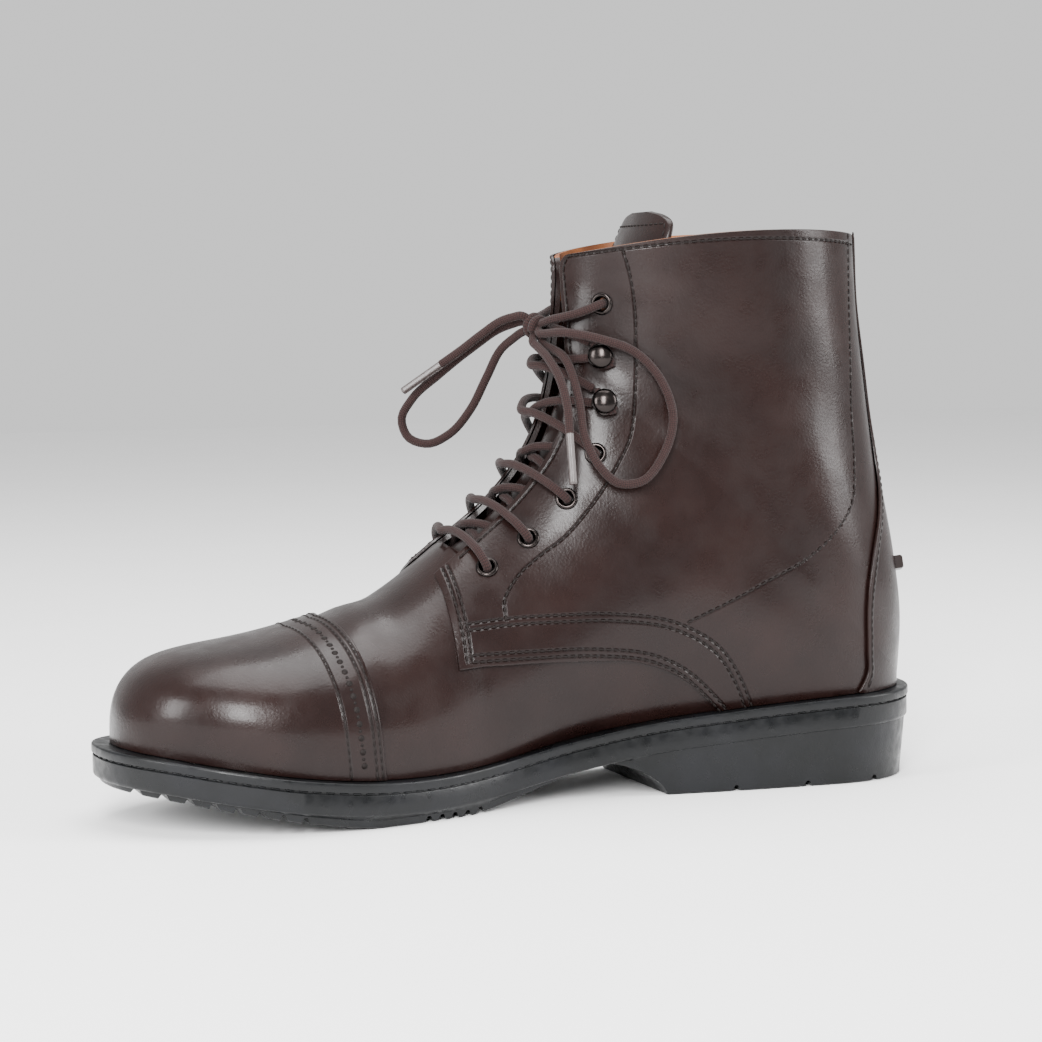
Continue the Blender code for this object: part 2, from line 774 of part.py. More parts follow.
def tread_cuts():
    """Make the wedges that cut grooves across the tread."""
    build = bmesh.new()
    for share in TREAD_CUTS + HEEL_CUTS:
        place = share * SOLE_LENGTH
        level = float(sole_bottom(place))
        slope = (float(sole_bottom(place + 0.003)) - float(sole_bottom(place - 0.003))) / 0.006
        half = 0.45 * TREAD_DEPTH
        corners = []
        for side in (-BALL_WIDTH, BALL_WIDTH):
            for shift, height in ((-2 * half, -half), (2 * half, -half), (0, 0.8 * TREAD_DEPTH)):
                point = (place + shift, side, level + slope * shift + height)
                corners.append(build.verts.new(to_frame(point)))
        build.faces.new(corners[0:3])
        build.faces.new(corners[5:2:-1])
        for k in range(3):
            following = (k + 1) % 3
            build.faces.new([corners[following], corners[k], corners[k + 3], corners[following + 3]])
    bmesh.ops.recalc_face_normals(build, faces=build.faces)
    return build


def insole():
    """Make the insole, which fills the bottom of the upper."""
    inside = UPPER_WALL + INSOLE_GAP
    margins = (SIDE_MARGIN + inside, TOE_MARGIN + inside, HEEL_MARGIN + inside)
    levels = (
        (margins, lambda place: sole_top(place) + FIT_GAP + INSOLE_THICKNESS),
        (margins, lambda place: sole_top(place) + FIT_GAP),
    )
    return ringed("insole", levels, stations()[::2], MATERIALS["insole"])


def upper():
    """Make the hollow upper: one wall, open underneath, at the throat and at the collar."""
    def start(step, side):
        return 0.0

    def end(step, side):
        return 1.0 if step <= THROAT_STEP else facing_share(step, side)

    return shell("upper", UPPER_STEPS, start, end, -UPPER_WALL, 0.0, MATERIALS["lining"])


def overlay_lifts(layer):
    """Return the lower and upper lift of an overlay, counted in layers above the upper."""
    if layer == 0:
        return CURVED_GAP, CURVED_GAP + OVERLAY_WALL
    lower = CURVED_GAP + OVERLAY_WALL + STRAP_GAP
    return lower, lower + STRAP_WALL


def quarters():
    """Make the quarters: both sides in one piece, joined at the back, open down the front."""
    def start(step, side):
        arc = INSTEP_HEIGHT * smooth(column(QUARTER_ROWS, 0), column(QUARTER_ROWS, 1), step)
        return 0.0 if step >= QUARTER_ROWS[-1][0] else float(arc) / arc_length(step, side)

    steps = [step for step in UPPER_STEPS if step >= QUARTER_FRONT]
    lower, upper_lift = overlay_lifts(0)
    return shell("quarters", steps, start, facing_share, lower, upper_lift, MATERIALS["leather"])


def toe_cap():
    """Make the toe cap, whose rear edge leans back towards the sole."""
    def bend(step, share):
        edge = step_at(CAP_FOOT + (CAP_CREST - CAP_FOOT) * share)
        return step * edge

    lower, upper_lift = overlay_lifts(0)
    steps = np.linspace(0, 1, CAP_ROWS)
    return shell("toe_cap", steps, lambda *_: 0.0, lambda *_: 1.0, lower, upper_lift,
                 MATERIALS["leather"], bend=bend)


def counter():
    """Make the counter, wide at the heel and narrow up the back seam."""
    def end(step, side):
        arc = HEEL_WIDTH * smooth(column(COUNTER_ROWS, 0), column(COUNTER_ROWS, 1), step)
        return float(arc) / arc_length(step, side)

    steps = [step for step in UPPER_STEPS if step >= COUNTER_ROWS[0][0]]
    lower, upper_lift = overlay_lifts(1)
    return shell("counter", steps, lambda *_: 0.0, end, lower, upper_lift, MATERIALS["leather"])


def spur_rest():
    """Make the small ledge on the counter that a spur rests on."""
    lower = overlay_lifts(1)[1] + CURVED_GAP
    outer = lower + SPUR_REST_DEPTH
    pitch = (COLLAR_HEIGHT - SEAT_HEIGHT) / (COLLAR_STEP - BACK_STEP)
    steps = np.linspace(0, SPUR_REST_HEIGHT / pitch, 2) + SPUR_REST_STEP

    def end(step, side):
        return SPUR_REST_WIDTH / 2 / arc_length(step, side)

    return shell("spur_rest", steps, lambda *_: 0.0, end, lower, outer, MATERIALS["leather"], columns=4)


def tongue():
    """Make the tongue, a rounded flap behind the facings that rises above the collar."""
    columns = 8
    outside = []
    inside = []
    for step, rise, depth, curve, half in TONGUE_ROWS:
        part = section(step)
        crest = np.array([part[2], part[3]])
        back = np.array([part[0], part[1]]) - crest
        span = np.hypot(*back)
        back = back / span
        up = np.array([-back[1], back[0]]) * (-1 if back[0] > 0 else 1)
        up = up if step < COLLAR_STEP else np.array([-0.12, 0.993])
        for reach in np.linspace(-half, half, columns + 1):
            widest = part[4] if reach > 0 else part[5]
            drop = (1 - (1 - (abs(reach) / widest) ** part[10]) ** (1 / part[10])) * (1 - part[8]) * span
            for wall, points in ((0.0, outside), (TONGUE_WALL, inside)):
                place = crest + back * (UPPER_WALL + depth + wall + curve * drop) + up * rise
                points.append((place[0], part[11] + reach, place[1]))
    faces = []
    for row in range(len(TONGUE_ROWS) - 1):
        for k in range(columns):
            first = row * (columns + 1) + k
            faces.append([first, first + 1, first + columns + 2, first + columns + 1])
    return walled("tongue", outside, inside, faces, MATERIALS["leather"])


def row_share(row, step, side, inward):
    """Return the share of a section's arc at a row's distance from the facing's edge, less an inward move."""
    return facing_share(step, side, FACING_MARGIN * LACE_ROWS[row][2] - inward)


def crest_step(place, height):
    """Return the step whose crest lies nearest to a place and a height."""
    steps = np.linspace(THROAT_STEP, COLLAR_STEP, 181)
    crests = np.array([section(step)[2:4] for step in steps])
    return steps[np.argmin(np.hypot(crests[:, 0] - place, crests[:, 1] - height))]


def climb_step(climb):
    """Return the step whose crest has climbed a share of the way from the throat to the collar."""
    steps = np.linspace(THROAT_STEP, COLLAR_STEP, 181)
    heights = np.array([section(step)[3] for step in steps])
    return float(np.interp(heights[0] + climb * (heights[-1] - heights[0]), heights, steps))


def fastening(row, side):
    """Return the place and the outward direction of a lace fastening on its facing."""
    step = LACE_ROWS[row][1]
    share = [float(row_share(row, step, side, 0.0))]
    lift = overlay_lifts(0)[1]
    base = to_frame(skin(step, side, share, lift + FIT_GAP)[0])
    raised = to_frame(skin(step, side, share, lift + FIT_GAP + HOOK_HEIGHT)[0])
    return base, (raised - base).normalized()


def turned(name, profile, base, axis, finish, turns):
    """Turn a profile of radius and height round an axis that stands on a base."""
    mesh = bpy.data.meshes.new(name)
    count = len(profile)
    closed = profile[0][0] > 0
    edges = [(k, (k + 1) % count) for k in range(count if closed else count - 1)]
    mesh.from_pydata([(radius, 0, height) for radius, height in profile], edges, [])
    made = placed(name, mesh, finish)
    screw = made.modifiers.new("turn", "SCREW")
    screw.axis = "Z"
    screw.steps = turns
    screw.render_steps = turns
    screw.use_merge_vertices = True
    screw.merge_threshold = 0.00001
    screw.use_smooth_shade = True
    screw.use_normal_calculate = True
    made.rotation_mode = "QUATERNION"
    made.rotation_quaternion = axis.to_track_quat("Z", "Y")
    made.location = base
    return made


def eyelet(name, base, axis):
    """Make an eyelet: a rolled rim on the facing and a barrel through it."""
    rim = EYELET_DIAMETER / 2
    bore = EYELET_BORE / 2
    barrel = EYELET_BARREL / 2
    depth = overlay_lifts(0)[1] + UPPER_WALL + 2 * FIT_GAP
    profile = (
        (bore, 0.6 * EYELET_HEIGHT),
        ((rim + bore) / 2, EYELET_HEIGHT),
        (rim, 0.35 * EYELET_HEIGHT),
        (rim, 0.0),
        (barrel, 0.0),
        (barrel, -depth),
        (bore, -depth),
    )
    return turned(name, profile, base, axis, MATERIALS["metal"], TURNS)


def hook(name, base, axis):
    """Make a lace hook: a round base, a neck that the lace runs round and a domed head."""
    head = HOOK_HEAD / 2
    neck = HOOK_NECK / 2
    foot = HOOK_BASE / 2
    flange = 0.11 * HOOK_HEIGHT
    throat = flange + LACE_DIAMETER + LACE_GAP
    profile = [(0.0, HOOK_HEIGHT)]
    profile += [(head * math.sin(turn), HOOK_HEIGHT - 0.6 * head * (1 - math.cos(turn)))
                for turn in (0.5, 1.0, 1.45)]
    profile += [(0.8 * head, throat), (neck, throat), (neck, flange), (foot, 0.8 * flange), (foot, 0.0),
                (0.0, 0.0)]
    return turned(name, profile, base, axis, MATERIALS["metal"], TURNS)


def fastenings():
    """Make the eyelets and the hooks of both facings, and the cutter of the eyelets' holes."""
    holes = bmesh.new()
    for side, word in ((MEDIAL, "medial"), (LATERAL, "lateral")):
        for row, (kind, _, _) in enumerate(LACE_ROWS):
            base, axis = fastening(row, side)
            name = f"{kind}_{word}_{row + 1}"
            if kind == "hook":
                hook(name, base, axis)
                continue
            eyelet(name, base, axis)
            bore = bmesh.ops.create_cone(
                holes, cap_ends=True, segments=TURNS, depth=4 * (UPPER_WALL + OVERLAY_WALL),
                radius1=EYELET_BARREL / 2 + FIT_GAP, radius2=EYELET_BARREL / 2 + FIT_GAP,
            )
            turn = axis.to_track_quat("Z", "Y").to_matrix().to_4x4()
            bmesh.ops.transform(holes, matrix=Matrix.Translation(base) @ turn, verts=bore["verts"])
    return cutter("eyelet_holes", holes)


def over_surface(row_from, row_to, shift_from, shift_to, lift_from, lift_to, middle_lift):
    """Return points of a lace that crosses from the medial row to the lateral row over the opening."""
    ends = []
    for row, shift, side in ((row_from, shift_from, MEDIAL), (row_to, shift_to, LATERAL)):
        kind, step = LACE_ROWS[row][:2]
        inward = 0.0 if kind == "eyelet" else HOOK_NECK / 2 + LACE_DIAMETER / 2 + LACE_GAP
        share = row_share(row, step + shift, side, inward)
        ends.append((step + shift, share, skin(step + shift, side, [share])[0]))
    middle = (ends[0][2] + ends[1][2]) / 2
    crest = crest_step(middle[0], middle[2])
    points = []
    for turn in np.linspace(-1, 1, BAR_POINTS):
        side = MEDIAL if turn < 0 else LATERAL
        step, share, _ = ends[0 if turn < 0 else 1]
        end_lift = lift_from if turn < 0 else lift_to
        far = abs(turn)
        place = crest + (step - crest) * far
        lift = middle_lift + (end_lift - middle_lift) * far**1.5
        points.append(skin(place, side, [1 - (1 - share) * far], lift)[0])
    return points


def lace_lifts():
    """Return the lifts of a lace's middle line: over an eyelet, round a hook's neck, over the opening."""
    surface = overlay_lifts(0)[1] + FIT_GAP
    over_eyelet = surface + EYELET_HEIGHT + LACE_GAP + LACE_DIAMETER / 2
    round_hook = surface + 0.11 * HOOK_HEIGHT + LACE_GAP / 2 + LACE_DIAMETER / 2
    over_opening = overlay_lifts(0)[1] + LACE_GAP + LACE_DIAMETER / 2
    return over_eyelet, round_hook, over_opening


def route(points, spacing):
    """Return evenly spaced points on a smooth curve through the given ones."""
    points = np.array(points)
    along = np.concatenate([[0], np.cumsum(np.linalg.norm(np.diff(points, axis=0), axis=1))])
    count = max(int(round(along[-1] / spacing)), 4)
    at = np.linspace(0, along[-1], count + 1)
    return np.stack([smooth(along, points[:, k], at) for k in range(3)], axis=1)


def tube(name, points, diameter, finish):
    """Make a round tube with closed ends along points."""
    curve = bpy.data.curves.new(name, "CURVE")
    curve.dimensions = "3D"
    curve.bevel_depth = diameter / 2
    curve.bevel_resolution = 2
    curve.use_fill_caps = True
    spline = curve.splines.new("POLY")
    spline.points.add(len(points) - 1)
    for target, point in zip(spline.points, points):
        target.co = (*to_frame(point), 1.0)
    curve.materials.append(finish)
    made = bpy.data.objects.new(name, curve)
    BOOT.objects.link(made)
    return made


def meshed(made):
    """Replace a curve object by the same shape as a closed mesh."""
    shape = bpy.data.meshes.new_from_object(made.evaluated_get(bpy.context.evaluated_depsgraph_get()))
    build = bmesh.new()
    build.from_mesh(shape)
    bmesh.ops.remove_doubles(build, verts=build.verts, dist=0.00001)
    name = made.name
    matrix = made.matrix_world.copy()
    bpy.data.objects.remove(made, do_unlink=True)
    result = finished(name, build, MATERIALS["lace"])
    result.matrix_world = matrix
    return result


def crossing(name, first, second):
    """Join two laces that cross each other into one solid."""
    bpy.context.view_layer.update()
    body = meshed(tube(name, first, LACE_DIAMETER, MATERIALS["lace"]))
    other = meshed(tube(name + "_under", second, LACE_DIAMETER, MATERIALS["lace"]))
    BOOT.objects.unlink(other)
    CUTTERS.objects.link(other)
    other.hide_render = True
    other.display_type = "WIRE"
    modifier = body.modifiers.new("join", "BOOLEAN")
    modifier.operation = "UNION"
    modifier.solver = "EXACT"
    modifier.object = other
    return body


def mirrored(build_points, *settings):
    """Return the same lace run from the medial and from the lateral side."""
    first = build_points(*settings)
    row_from, row_to, shift_from, shift_to, lift_from, lift_to, middle = settings
    second = build_points(row_to, row_from, shift_to, shift_from, lift_to, lift_from, middle)
    return first, second


def knot_centre():
    """Return the middle of the knot, which lies on the crest in front of the shaft."""
    return skin(climb_step(KNOT_CLIMB), MEDIAL, [1.0], KNOT_LIFT)[0]


def lace():
    """Make the laced part of the lace: bars over the vamp's eyelets and crossings up to the top."""
    eyelet_lift, hook_lift, middle_lift = lace_lifts()
    for row in range(3):
        points = over_surface(row, row, 0, 0, eyelet_lift, eyelet_lift, middle_lift)
        tube(f"lace_bar_{row + 1}", route(points, LACE_SPACING), LACE_DIAMETER, MATERIALS["lace"])
    runs = ((3, 4, 0, -HOOK_SPREAD, eyelet_lift, hook_lift), (4, 5, HOOK_SPREAD, -HOOK_SPREAD, hook_lift, hook_lift))
    for number, settings in enumerate(runs):
        first, second = mirrored(over_surface, *settings, middle_lift)
        crossing(f"lace_crossing_{number + 1}", route(first, LACE_SPACING), route(second, LACE_SPACING))
    for side, word in ((MEDIAL, "medial"), (LATERAL, "lateral")):
        low = LACE_ROWS[5][1] + HOOK_SPREAD
        start = row_share(5, low, side, HOOK_NECK / 2 + LACE_DIAMETER / 2 + LACE_GAP)
        high = climb_step(TAIL_CLIMB)
        end = 1 - 0.7 * LACE_DIAMETER / arc_length(high, side)
        points = []
        for part in np.linspace(0, 1, 5):
            lift = hook_lift + (0.5 * middle_lift - hook_lift) * part**4
            points.append(skin(low + (high - low) * part, side, [start + (end - start) * part], lift)[0])
        tube(f"lace_tail_{word}", route(points, LACE_SPACING), LACE_DIAMETER, MATERIALS["lace"])
    for side, word in ((MEDIAL, "medial"), (LATERAL, "lateral")):
        centre = knot_centre()
        top = LACE_ROWS[6][1]
        start = row_share(6, top, side, 0.0)
        points = []
        for part in np.linspace(0, 0.75, 4):
            step = top + (climb_step(KNOT_CLIMB) - top) * part
            share = start + (1 - start) * part
            points.append(skin(step, side, [share], eyelet_lift + (KNOT_LIFT - eyelet_lift) * part)[0])
        reach = centre - points[-1]
        reach = reach / np.linalg.norm(reach)
        points.append(centre - reach * (KNOT_RADIUS + LACE_GAP))
        tube(f"lace_top_{word}", route(points, LACE_SPACING), LACE_DIAMETER, MATERIALS["lace"])


def bow_points(rows):
    """Return a bow's points from its table of offsets."""
    centre = knot_centre()
    return [centre + BOW_REACH * np.array(row) for row in rows]


def bow():
    """Make the knot, its two loops and its two ends with their metal tips."""
    finish = MATERIALS["lace"]
    shape = bmesh.new()
    bmesh.ops.create_uvsphere(shape, u_segments=10, v_segments=7, radius=KNOT_RADIUS)
    knot = finished("lace_knot", shape, finish)
    knot.location = to_frame(knot_centre())
    for word, rows in (("medial", MEDIAL_LOOP_ROWS), ("lateral", LATERAL_LOOP_ROWS)):
        tube(f"lace_loop_{word}", route(bow_points(rows), LACE_SPACING), LACE_DIAMETER, finish)
    for word, rows in (("medial", MEDIAL_END_ROWS), ("lateral", LATERAL_END_ROWS)):
        points = route(bow_points(rows), LACE_SPACING)
        tube(f"lace_end_{word}", points, LACE_DIAMETER, finish)
        along = points[-1] - points[-2]
        along = along / np.linalg.norm(along)
        start = points[-1] + along * LACE_GAP
        tip = [start + along * AGLET_LENGTH * part for part in (0, 1)]
        tube(f"aglet_{word}", tip, AGLET_DIAMETER, MATERIALS["aglet"])


def clear_scene():
    """Remove every object of the scene that the script starts in."""
    for old in list(bpy.data.objects):
        bpy.data.objects.remove(old, do_unlink=True)


def collection(name):
    """Make a collection in the scene."""
    made = bpy.data.collections.new(name)
    bpy.context.scene.collection.children.link(made)
    return made


clear_scene()
BOOT = collection("paddock_boot")
CUTTERS = collection("cutters")
MIDDLE = outline_middle()
MATERIALS = {
    "leather": finish_of("brown_leather", (0.040, 0.022, 0.018), 0.35),
    "lining": finish_of("brown_leather_and_lining", (0.050, 0.028, 0.022), 0.5),
    "insole": finish_of("tan_insole", (0.20, 0.09, 0.04), 0.7),
    "rubber": finish_of("black_rubber", (0.012, 0.012, 0.013), 0.5),
    "metal": finish_of("dark_bronze_metal", (0.05, 0.045, 0.045), 0.25, 1.0),
    "lace": finish_of("brown_lace", (0.08, 0.035, 0.03), 0.8),
    "aglet": finish_of("grey_tip", (0.35, 0.35, 0.37), 0.3),
}


def main():
    """Build the boot from the sole upwards."""
    sole()
    insole()
    body = upper()
    outer = quarters()
    toe_cap()
    counter()
    spur_rest()
    tongue()
    holes = fastenings()
    cut(body, holes)
    cut(outer, holes)
    lace()
    bow()


main()
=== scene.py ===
"""Looks of the right paddock boot: leather panels, stitching, lacing and moulded sole.

The boot stands on its sole.  +Z is up, the toe points along -Y and the medial side faces +X.
Distances along the foot are counted from the back of the sole towards the toe, in metres.
The surface of the upper is read by a step and a share: a step is 0 at the toe, 1 at the throat,
10 where the sections leave the foot and 19 at the collar, and a share runs along a section
from the foot or the back seam (0) to the crest (1).
"""
import logging
import math
from dataclasses import dataclass
from enum import Enum
from typing import Callable, Optional, Sequence, Union

import bmesh
import bpy
import numpy as np
from mathutils import Matrix, Vector

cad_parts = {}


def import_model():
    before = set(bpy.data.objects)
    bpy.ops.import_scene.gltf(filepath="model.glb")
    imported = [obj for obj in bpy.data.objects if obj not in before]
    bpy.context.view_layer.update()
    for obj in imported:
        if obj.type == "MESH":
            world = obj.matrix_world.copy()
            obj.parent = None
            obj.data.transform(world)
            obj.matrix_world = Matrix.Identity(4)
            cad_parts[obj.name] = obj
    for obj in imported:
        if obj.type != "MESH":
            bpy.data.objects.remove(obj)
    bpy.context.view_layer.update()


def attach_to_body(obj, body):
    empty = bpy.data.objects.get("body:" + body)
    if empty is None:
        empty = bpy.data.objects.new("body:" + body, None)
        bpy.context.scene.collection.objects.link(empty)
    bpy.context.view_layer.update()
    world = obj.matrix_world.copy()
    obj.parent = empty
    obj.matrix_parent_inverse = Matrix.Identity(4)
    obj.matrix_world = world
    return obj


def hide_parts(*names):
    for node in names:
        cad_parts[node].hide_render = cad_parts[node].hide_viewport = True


LOG = logging.getLogger("paddock_boot")
MM = 0.001
Values = Union[float, np.ndarray]
Input = Union[float, bpy.types.NodeSocket, Sequence]
ROOT = "root"


class Side(Enum):
    """The two sides of the boot, by the sign of their sideways reach."""

    MEDIAL = 1
    LATERAL = -1


SIDES = (Side.MEDIAL, Side.LATERAL)

# Half widths along the foot, as shares of half of the named width
OUTLINE_ROWS = (
    # along, gauge, medial, lateral
    (0.00, "heel", 1.00, 1.00),
    (0.13, "heel", 1.00, 1.00),
    (0.26, "heel", 0.95, 1.00),
    (0.36, "waist", 0.90, 1.05),
    (0.45, "waist", 0.88, 1.13),
    (0.54, "ball", 0.66, 0.86),
    (0.63, "ball", 0.86, 1.00),
    (0.71, "ball", 0.98, 1.02),
    (0.79, "ball", 1.02, 0.96),
    (0.88, "ball", 1.00, 0.86),
    (1.00, "ball", 0.94, 0.72),
)

# Top of the sole, as shares of the heel's rise and of the toe spring
TOP_LINE_ROWS = (
    # along, heel rise, toe rise
    (0.00, 1.00, 0.00),
    (0.16, 0.90, 0.00),
    (0.26, 0.79, 0.00),
    (0.37, 0.61, 0.00),
    (0.47, 0.34, 0.00),
    (0.56, 0.08, 0.00),
    (0.64, 0.00, 0.00),
    (0.72, 0.00, 0.06),
    (0.80, 0.00, 0.28),
    (0.88, 0.00, 0.60),
    (0.94, 0.00, 0.84),
    (1.00, 0.00, 1.00),
)

# Thickness of the sole ahead of the heel, as a share of the forepart's height
THICKNESS_ROWS = (
    # along, thickness
    (0.345, 0.76),
    (0.42, 0.76),
    (0.47, 0.80),
    (0.52, 0.90),
    (0.585, 1.02),
    (0.72, 1.04),
    (0.80, 0.98),
    (1.00, 0.88),
)

# Upright sections of the vamp, from the throat to the toe
VAMP_ROWS = (
    # along, crest over instep height, fullness, belly, dome
    (0.565, 1.165, 1.12, 0.32, 1.90),
    (0.610, 1.020, 1.08, 0.30, 1.92),
    (0.668, 0.856, 1.04, 0.28, 1.95),
    (0.725, 0.765, 1.02, 0.28, 2.02),
    (0.780, 0.671, 1.02, 0.29, 2.12),
    (0.845, 0.575, 1.02, 0.31, 2.25),
    (0.920, 0.485, 1.02, 0.33, 2.40),
    (1.000, 0.430, 1.02, 0.34, 2.40),
)

# Sections that turn from the throat, round the heel, to the collar
ANKLE_ROWS = (
    # foot, back climb, crest reach, crest climb, gauge, medial, lateral, belly, back bend, dome
    (0.513, 0.000, 0.808, 0.068, "ankle", 1.03, 1.17, 0.34, 2.00, 1.88),
    (0.441, 0.000, 0.616, 0.145, "ankle", 0.98, 1.07, 0.37, 2.00, 1.86),
    (0.369, 0.000, 0.448, 0.229, "ankle", 0.96, 1.02, 0.40, 2.00, 1.86),
    (0.290, 0.000, 0.305, 0.317, "ankle", 0.97, 1.00, 0.42, 2.05, 1.90),
    (0.2075, 0.000, 0.209, 0.400, "ankle", 0.99, 1.00, 0.42, 2.10, 1.94),
    (0.128, 0.000, 0.149, 0.478, "ankle", 0.99, 1.00, 0.41, 2.15, 1.97),
    (0.0636, 0.000, 0.113, 0.546, "ankle", 0.98, 0.98, 0.40, 2.20, 2.00),
    (0.0205, 0.000, 0.084, 0.603, "ankle", 0.97, 0.97, 0.39, 2.20, 2.00),
    (0.000, 0.000, 0.065, 0.648, "ankle", 0.96, 0.96, 0.38, 2.20, 2.00),
    (0.000, 0.063, 0.050, 0.689, "ankle", 0.95, 0.95, 0.38, 2.20, 2.00),
    (0.000, 0.145, 0.034, 0.736, "ankle", 0.93, 0.93, 0.38, 2.15, 2.00),
    (0.000, 0.272, 0.017, 0.785, "ankle", 0.91, 0.91, 0.40, 2.10, 2.00),
    (0.000, 0.386, 0.005, 0.834, "ankle", 0.90, 0.90, 0.42, 2.10, 2.00),
    (0.000, 0.525, -0.002, 0.878, "ankle", 0.89, 0.89, 0.44, 2.10, 2.00),
    (0.000, 0.670, -0.007, 0.917, "ankle", 0.89, 0.89, 0.45, 2.10, 2.00),
    (0.000, 0.810, -0.007, 0.950, "collar", 0.98, 0.98, 0.46, 2.10, 2.00),
    (0.000, 0.910, -0.005, 0.977, "collar", 0.99, 0.99, 0.46, 2.10, 2.00),
    (0.000, 1.000, 0.000, 1.000, "collar", 1.00, 1.00, 0.46, 2.10, 2.00),
)

# Line of the back seam, as shares of the climb to the collar and of its lean
BACK_ROWS = (
    # climb, lean
    (0.000, 0.00),
    (0.145, -0.11),
    (0.290, 0.05),
    (0.430, 0.33),
    (0.640, 0.65),
    (0.840, 0.90),
    (1.000, 1.00),
)

# Opening between the facings, from the throat's gap to the collar's gap
GAP_ROWS = (
    # climb of the crest, share of the change
    (0.00, 0.00),
    (0.07, 0.10),
    (0.15, 0.13),
    (0.25, 0.11),
    (0.36, 0.07),
    (0.47, 0.10),
    (0.58, 0.26),
    (0.74, 0.62),
    (0.85, 0.82),
    (1.00, 1.00),
)

# Lower cut edge of the quarters, as the arc above the sole over the instep height
QUARTER_ROWS = (
    # step, arc
    (0.94, 0.510),
    (2.16, 0.486),
    (3.57, 0.418),
    (4.40, 0.356),
    (4.75, 0.290),
    (5.05, 0.176),
    (5.24, 0.000),
)

# Front edge of the counter, as the arc from the sole or from the back seam over the heel width
COUNTER_ROWS = (
    # step, arc
    (7.70, 0.02),
    (8.30, 0.14),
    (9.00, 0.32),
    (11.7, 0.61),
    (12.6, 0.52),
    (13.6, 0.36),
    (14.4, 0.21),
    (15.2, 0.13),
    (16.5, 0.10),
    (19.0, 0.10),
)

# Sections of the tongue, which lies behind the facings and leans back at its top
TONGUE_ROWS = (
    # step, rise above the collar, depth behind the crest, curve kept, half width
    (0.82, 0.000, 0.0034, 1.00, 0.0150),
    (1.00, 0.000, 0.0036, 1.00, 0.0205),
    (2.00, 0.000, 0.0038, 1.00, 0.0215),
    (3.50, 0.000, 0.0040, 1.00, 0.0215),
    (5.50, 0.000, 0.0042, 1.00, 0.0205),
    (8.00, 0.000, 0.0052, 0.98, 0.0195),
    (11.0, 0.000, 0.0085, 0.85, 0.0187),
    (13.5, 0.000, 0.0130, 0.65, 0.0192),
    (15.5, 0.000, 0.0170, 0.48, 0.0205),
    (17.5, 0.000, 0.0200, 0.36, 0.0220),
    (19.0, 0.000, 0.0220, 0.30, 0.0230),
    (19.0, 0.0050, 0.0236, 0.30, 0.0230),
    (19.0, 0.0090, 0.0250, 0.30, 0.0210),
    (19.0, 0.0115, 0.0260, 0.30, 0.0155),
    (19.0, 0.0130, 0.0266, 0.30, 0.0070),
)

# Lace fastenings up each facing
LACE_ROWS = (
    # kind, step, distance from the facing's edge over the facing margin
    ("eyelet", 1.58, 0.83),
    ("eyelet", 3.12, 0.91),
    ("eyelet", 4.73, 0.95),
    ("eyelet", 6.56, 1.00),
    ("hook", 8.87, 1.01),
    ("hook", 11.96, 1.01),
    ("eyelet", 14.95, 1.04),
)

# Bow: forward, medial and upward offsets from the knot over the bow's reach
MEDIAL_LOOP_ROWS = (
    # forward, medial, up
    (0.000, 0.120, -0.052),
    (-0.090, 0.325, -0.042),
    (-0.275, 0.495, -0.085),
    (-0.512, 0.550, -0.178),
    (-0.688, 0.620, -0.398),
    (-0.748, 0.640, -0.624),
    (-0.674, 0.660, -0.856),
    (-0.482, 0.680, -1.046),
    (-0.350, 0.650, -1.050),
    (-0.225, 0.640, -0.946),
    (-0.145, 0.570, -0.760),
    (-0.128, 0.480, -0.472),
    (-0.085, 0.345, -0.215),
    (-0.030, 0.120, -0.128),
)
LATERAL_LOOP_ROWS = (
    # forward, medial, up
    (0.085, -0.110, 0.030),
    (0.190, -0.195, -0.015),
    (0.330, -0.310, -0.130),
    (0.534, -0.500, -0.330),
    (0.690, -0.630, -0.500),
    (0.752, -0.680, -0.640),
    (0.720, -0.650, -0.760),
    (0.610, -0.550, -0.810),
    (0.480, -0.440, -0.740),
    (0.360, -0.335, -0.570),
    (0.266, -0.260, -0.350),
    (0.180, -0.180, -0.150),
    (0.090, -0.090, -0.055),
)
MEDIAL_END_ROWS = (
    # forward, medial, up
    (0.045, 0.085, -0.110),
    (0.010, 0.280, -0.215),
    (-0.020, 0.430, -0.360),
    (-0.035, 0.520, -0.540),
    (-0.030, 0.570, -0.710),
)
LATERAL_END_ROWS = (
    # forward, medial, up
    (0.105, -0.020, 0.075),
    (0.200, -0.090, 0.045),
    (0.320, -0.190, -0.050),
    (0.440, -0.290, -0.160),
    (0.550, -0.390, -0.255),
)

# Sewn rows: places on the skin, as a step and an arc in millimetres from the foot or the back seam
BAND_TOP_ROWS = (
    (0.98, 47.2),
    (1.71, 47.0),
    (3.00, 44.9),
    (4.15, 42.1),
    (5.34, 36.5),
    (5.76, 26.4),
    (5.79, 12.7),
    (5.72, 1.0),
)
BAND_FOOT_ROWS = (
    (0.98, 36.6),
    (2.19, 34.9),
    (3.60, 30.8),
    (4.57, 25.4),
    (4.98, 18.9),
    (5.21, 9.0),
    (5.31, 1.7),
)
SHAFT_SEAM_ROWS = (
    (18.90, 19.4),
    (15.53, 28.5),
    (14.21, 35.7),
    (13.34, 43.3),
    (12.31, 58.9),
    (10.29, 80.1),
    (8.04, 59.6),
    (6.91, 50.1),
    (5.59, 38.9),
)

# Second sewn row of the facing, as a step and an arc in millimetres from the crest
FACING_SEAM_ROWS = (
    (18.45, 28.1),
    (16.94, 29.8),
    (13.21, 34.9),
    (11.54, 37.5),
    (8.10, 39.9),
    (6.66, 38.7),
    (5.08, 37.7),
    (3.89, 36.8),
    (3.25, 35.5),
    (2.19, 37.4),
    (1.77, 41.9),
    (1.71, 46.4),
)


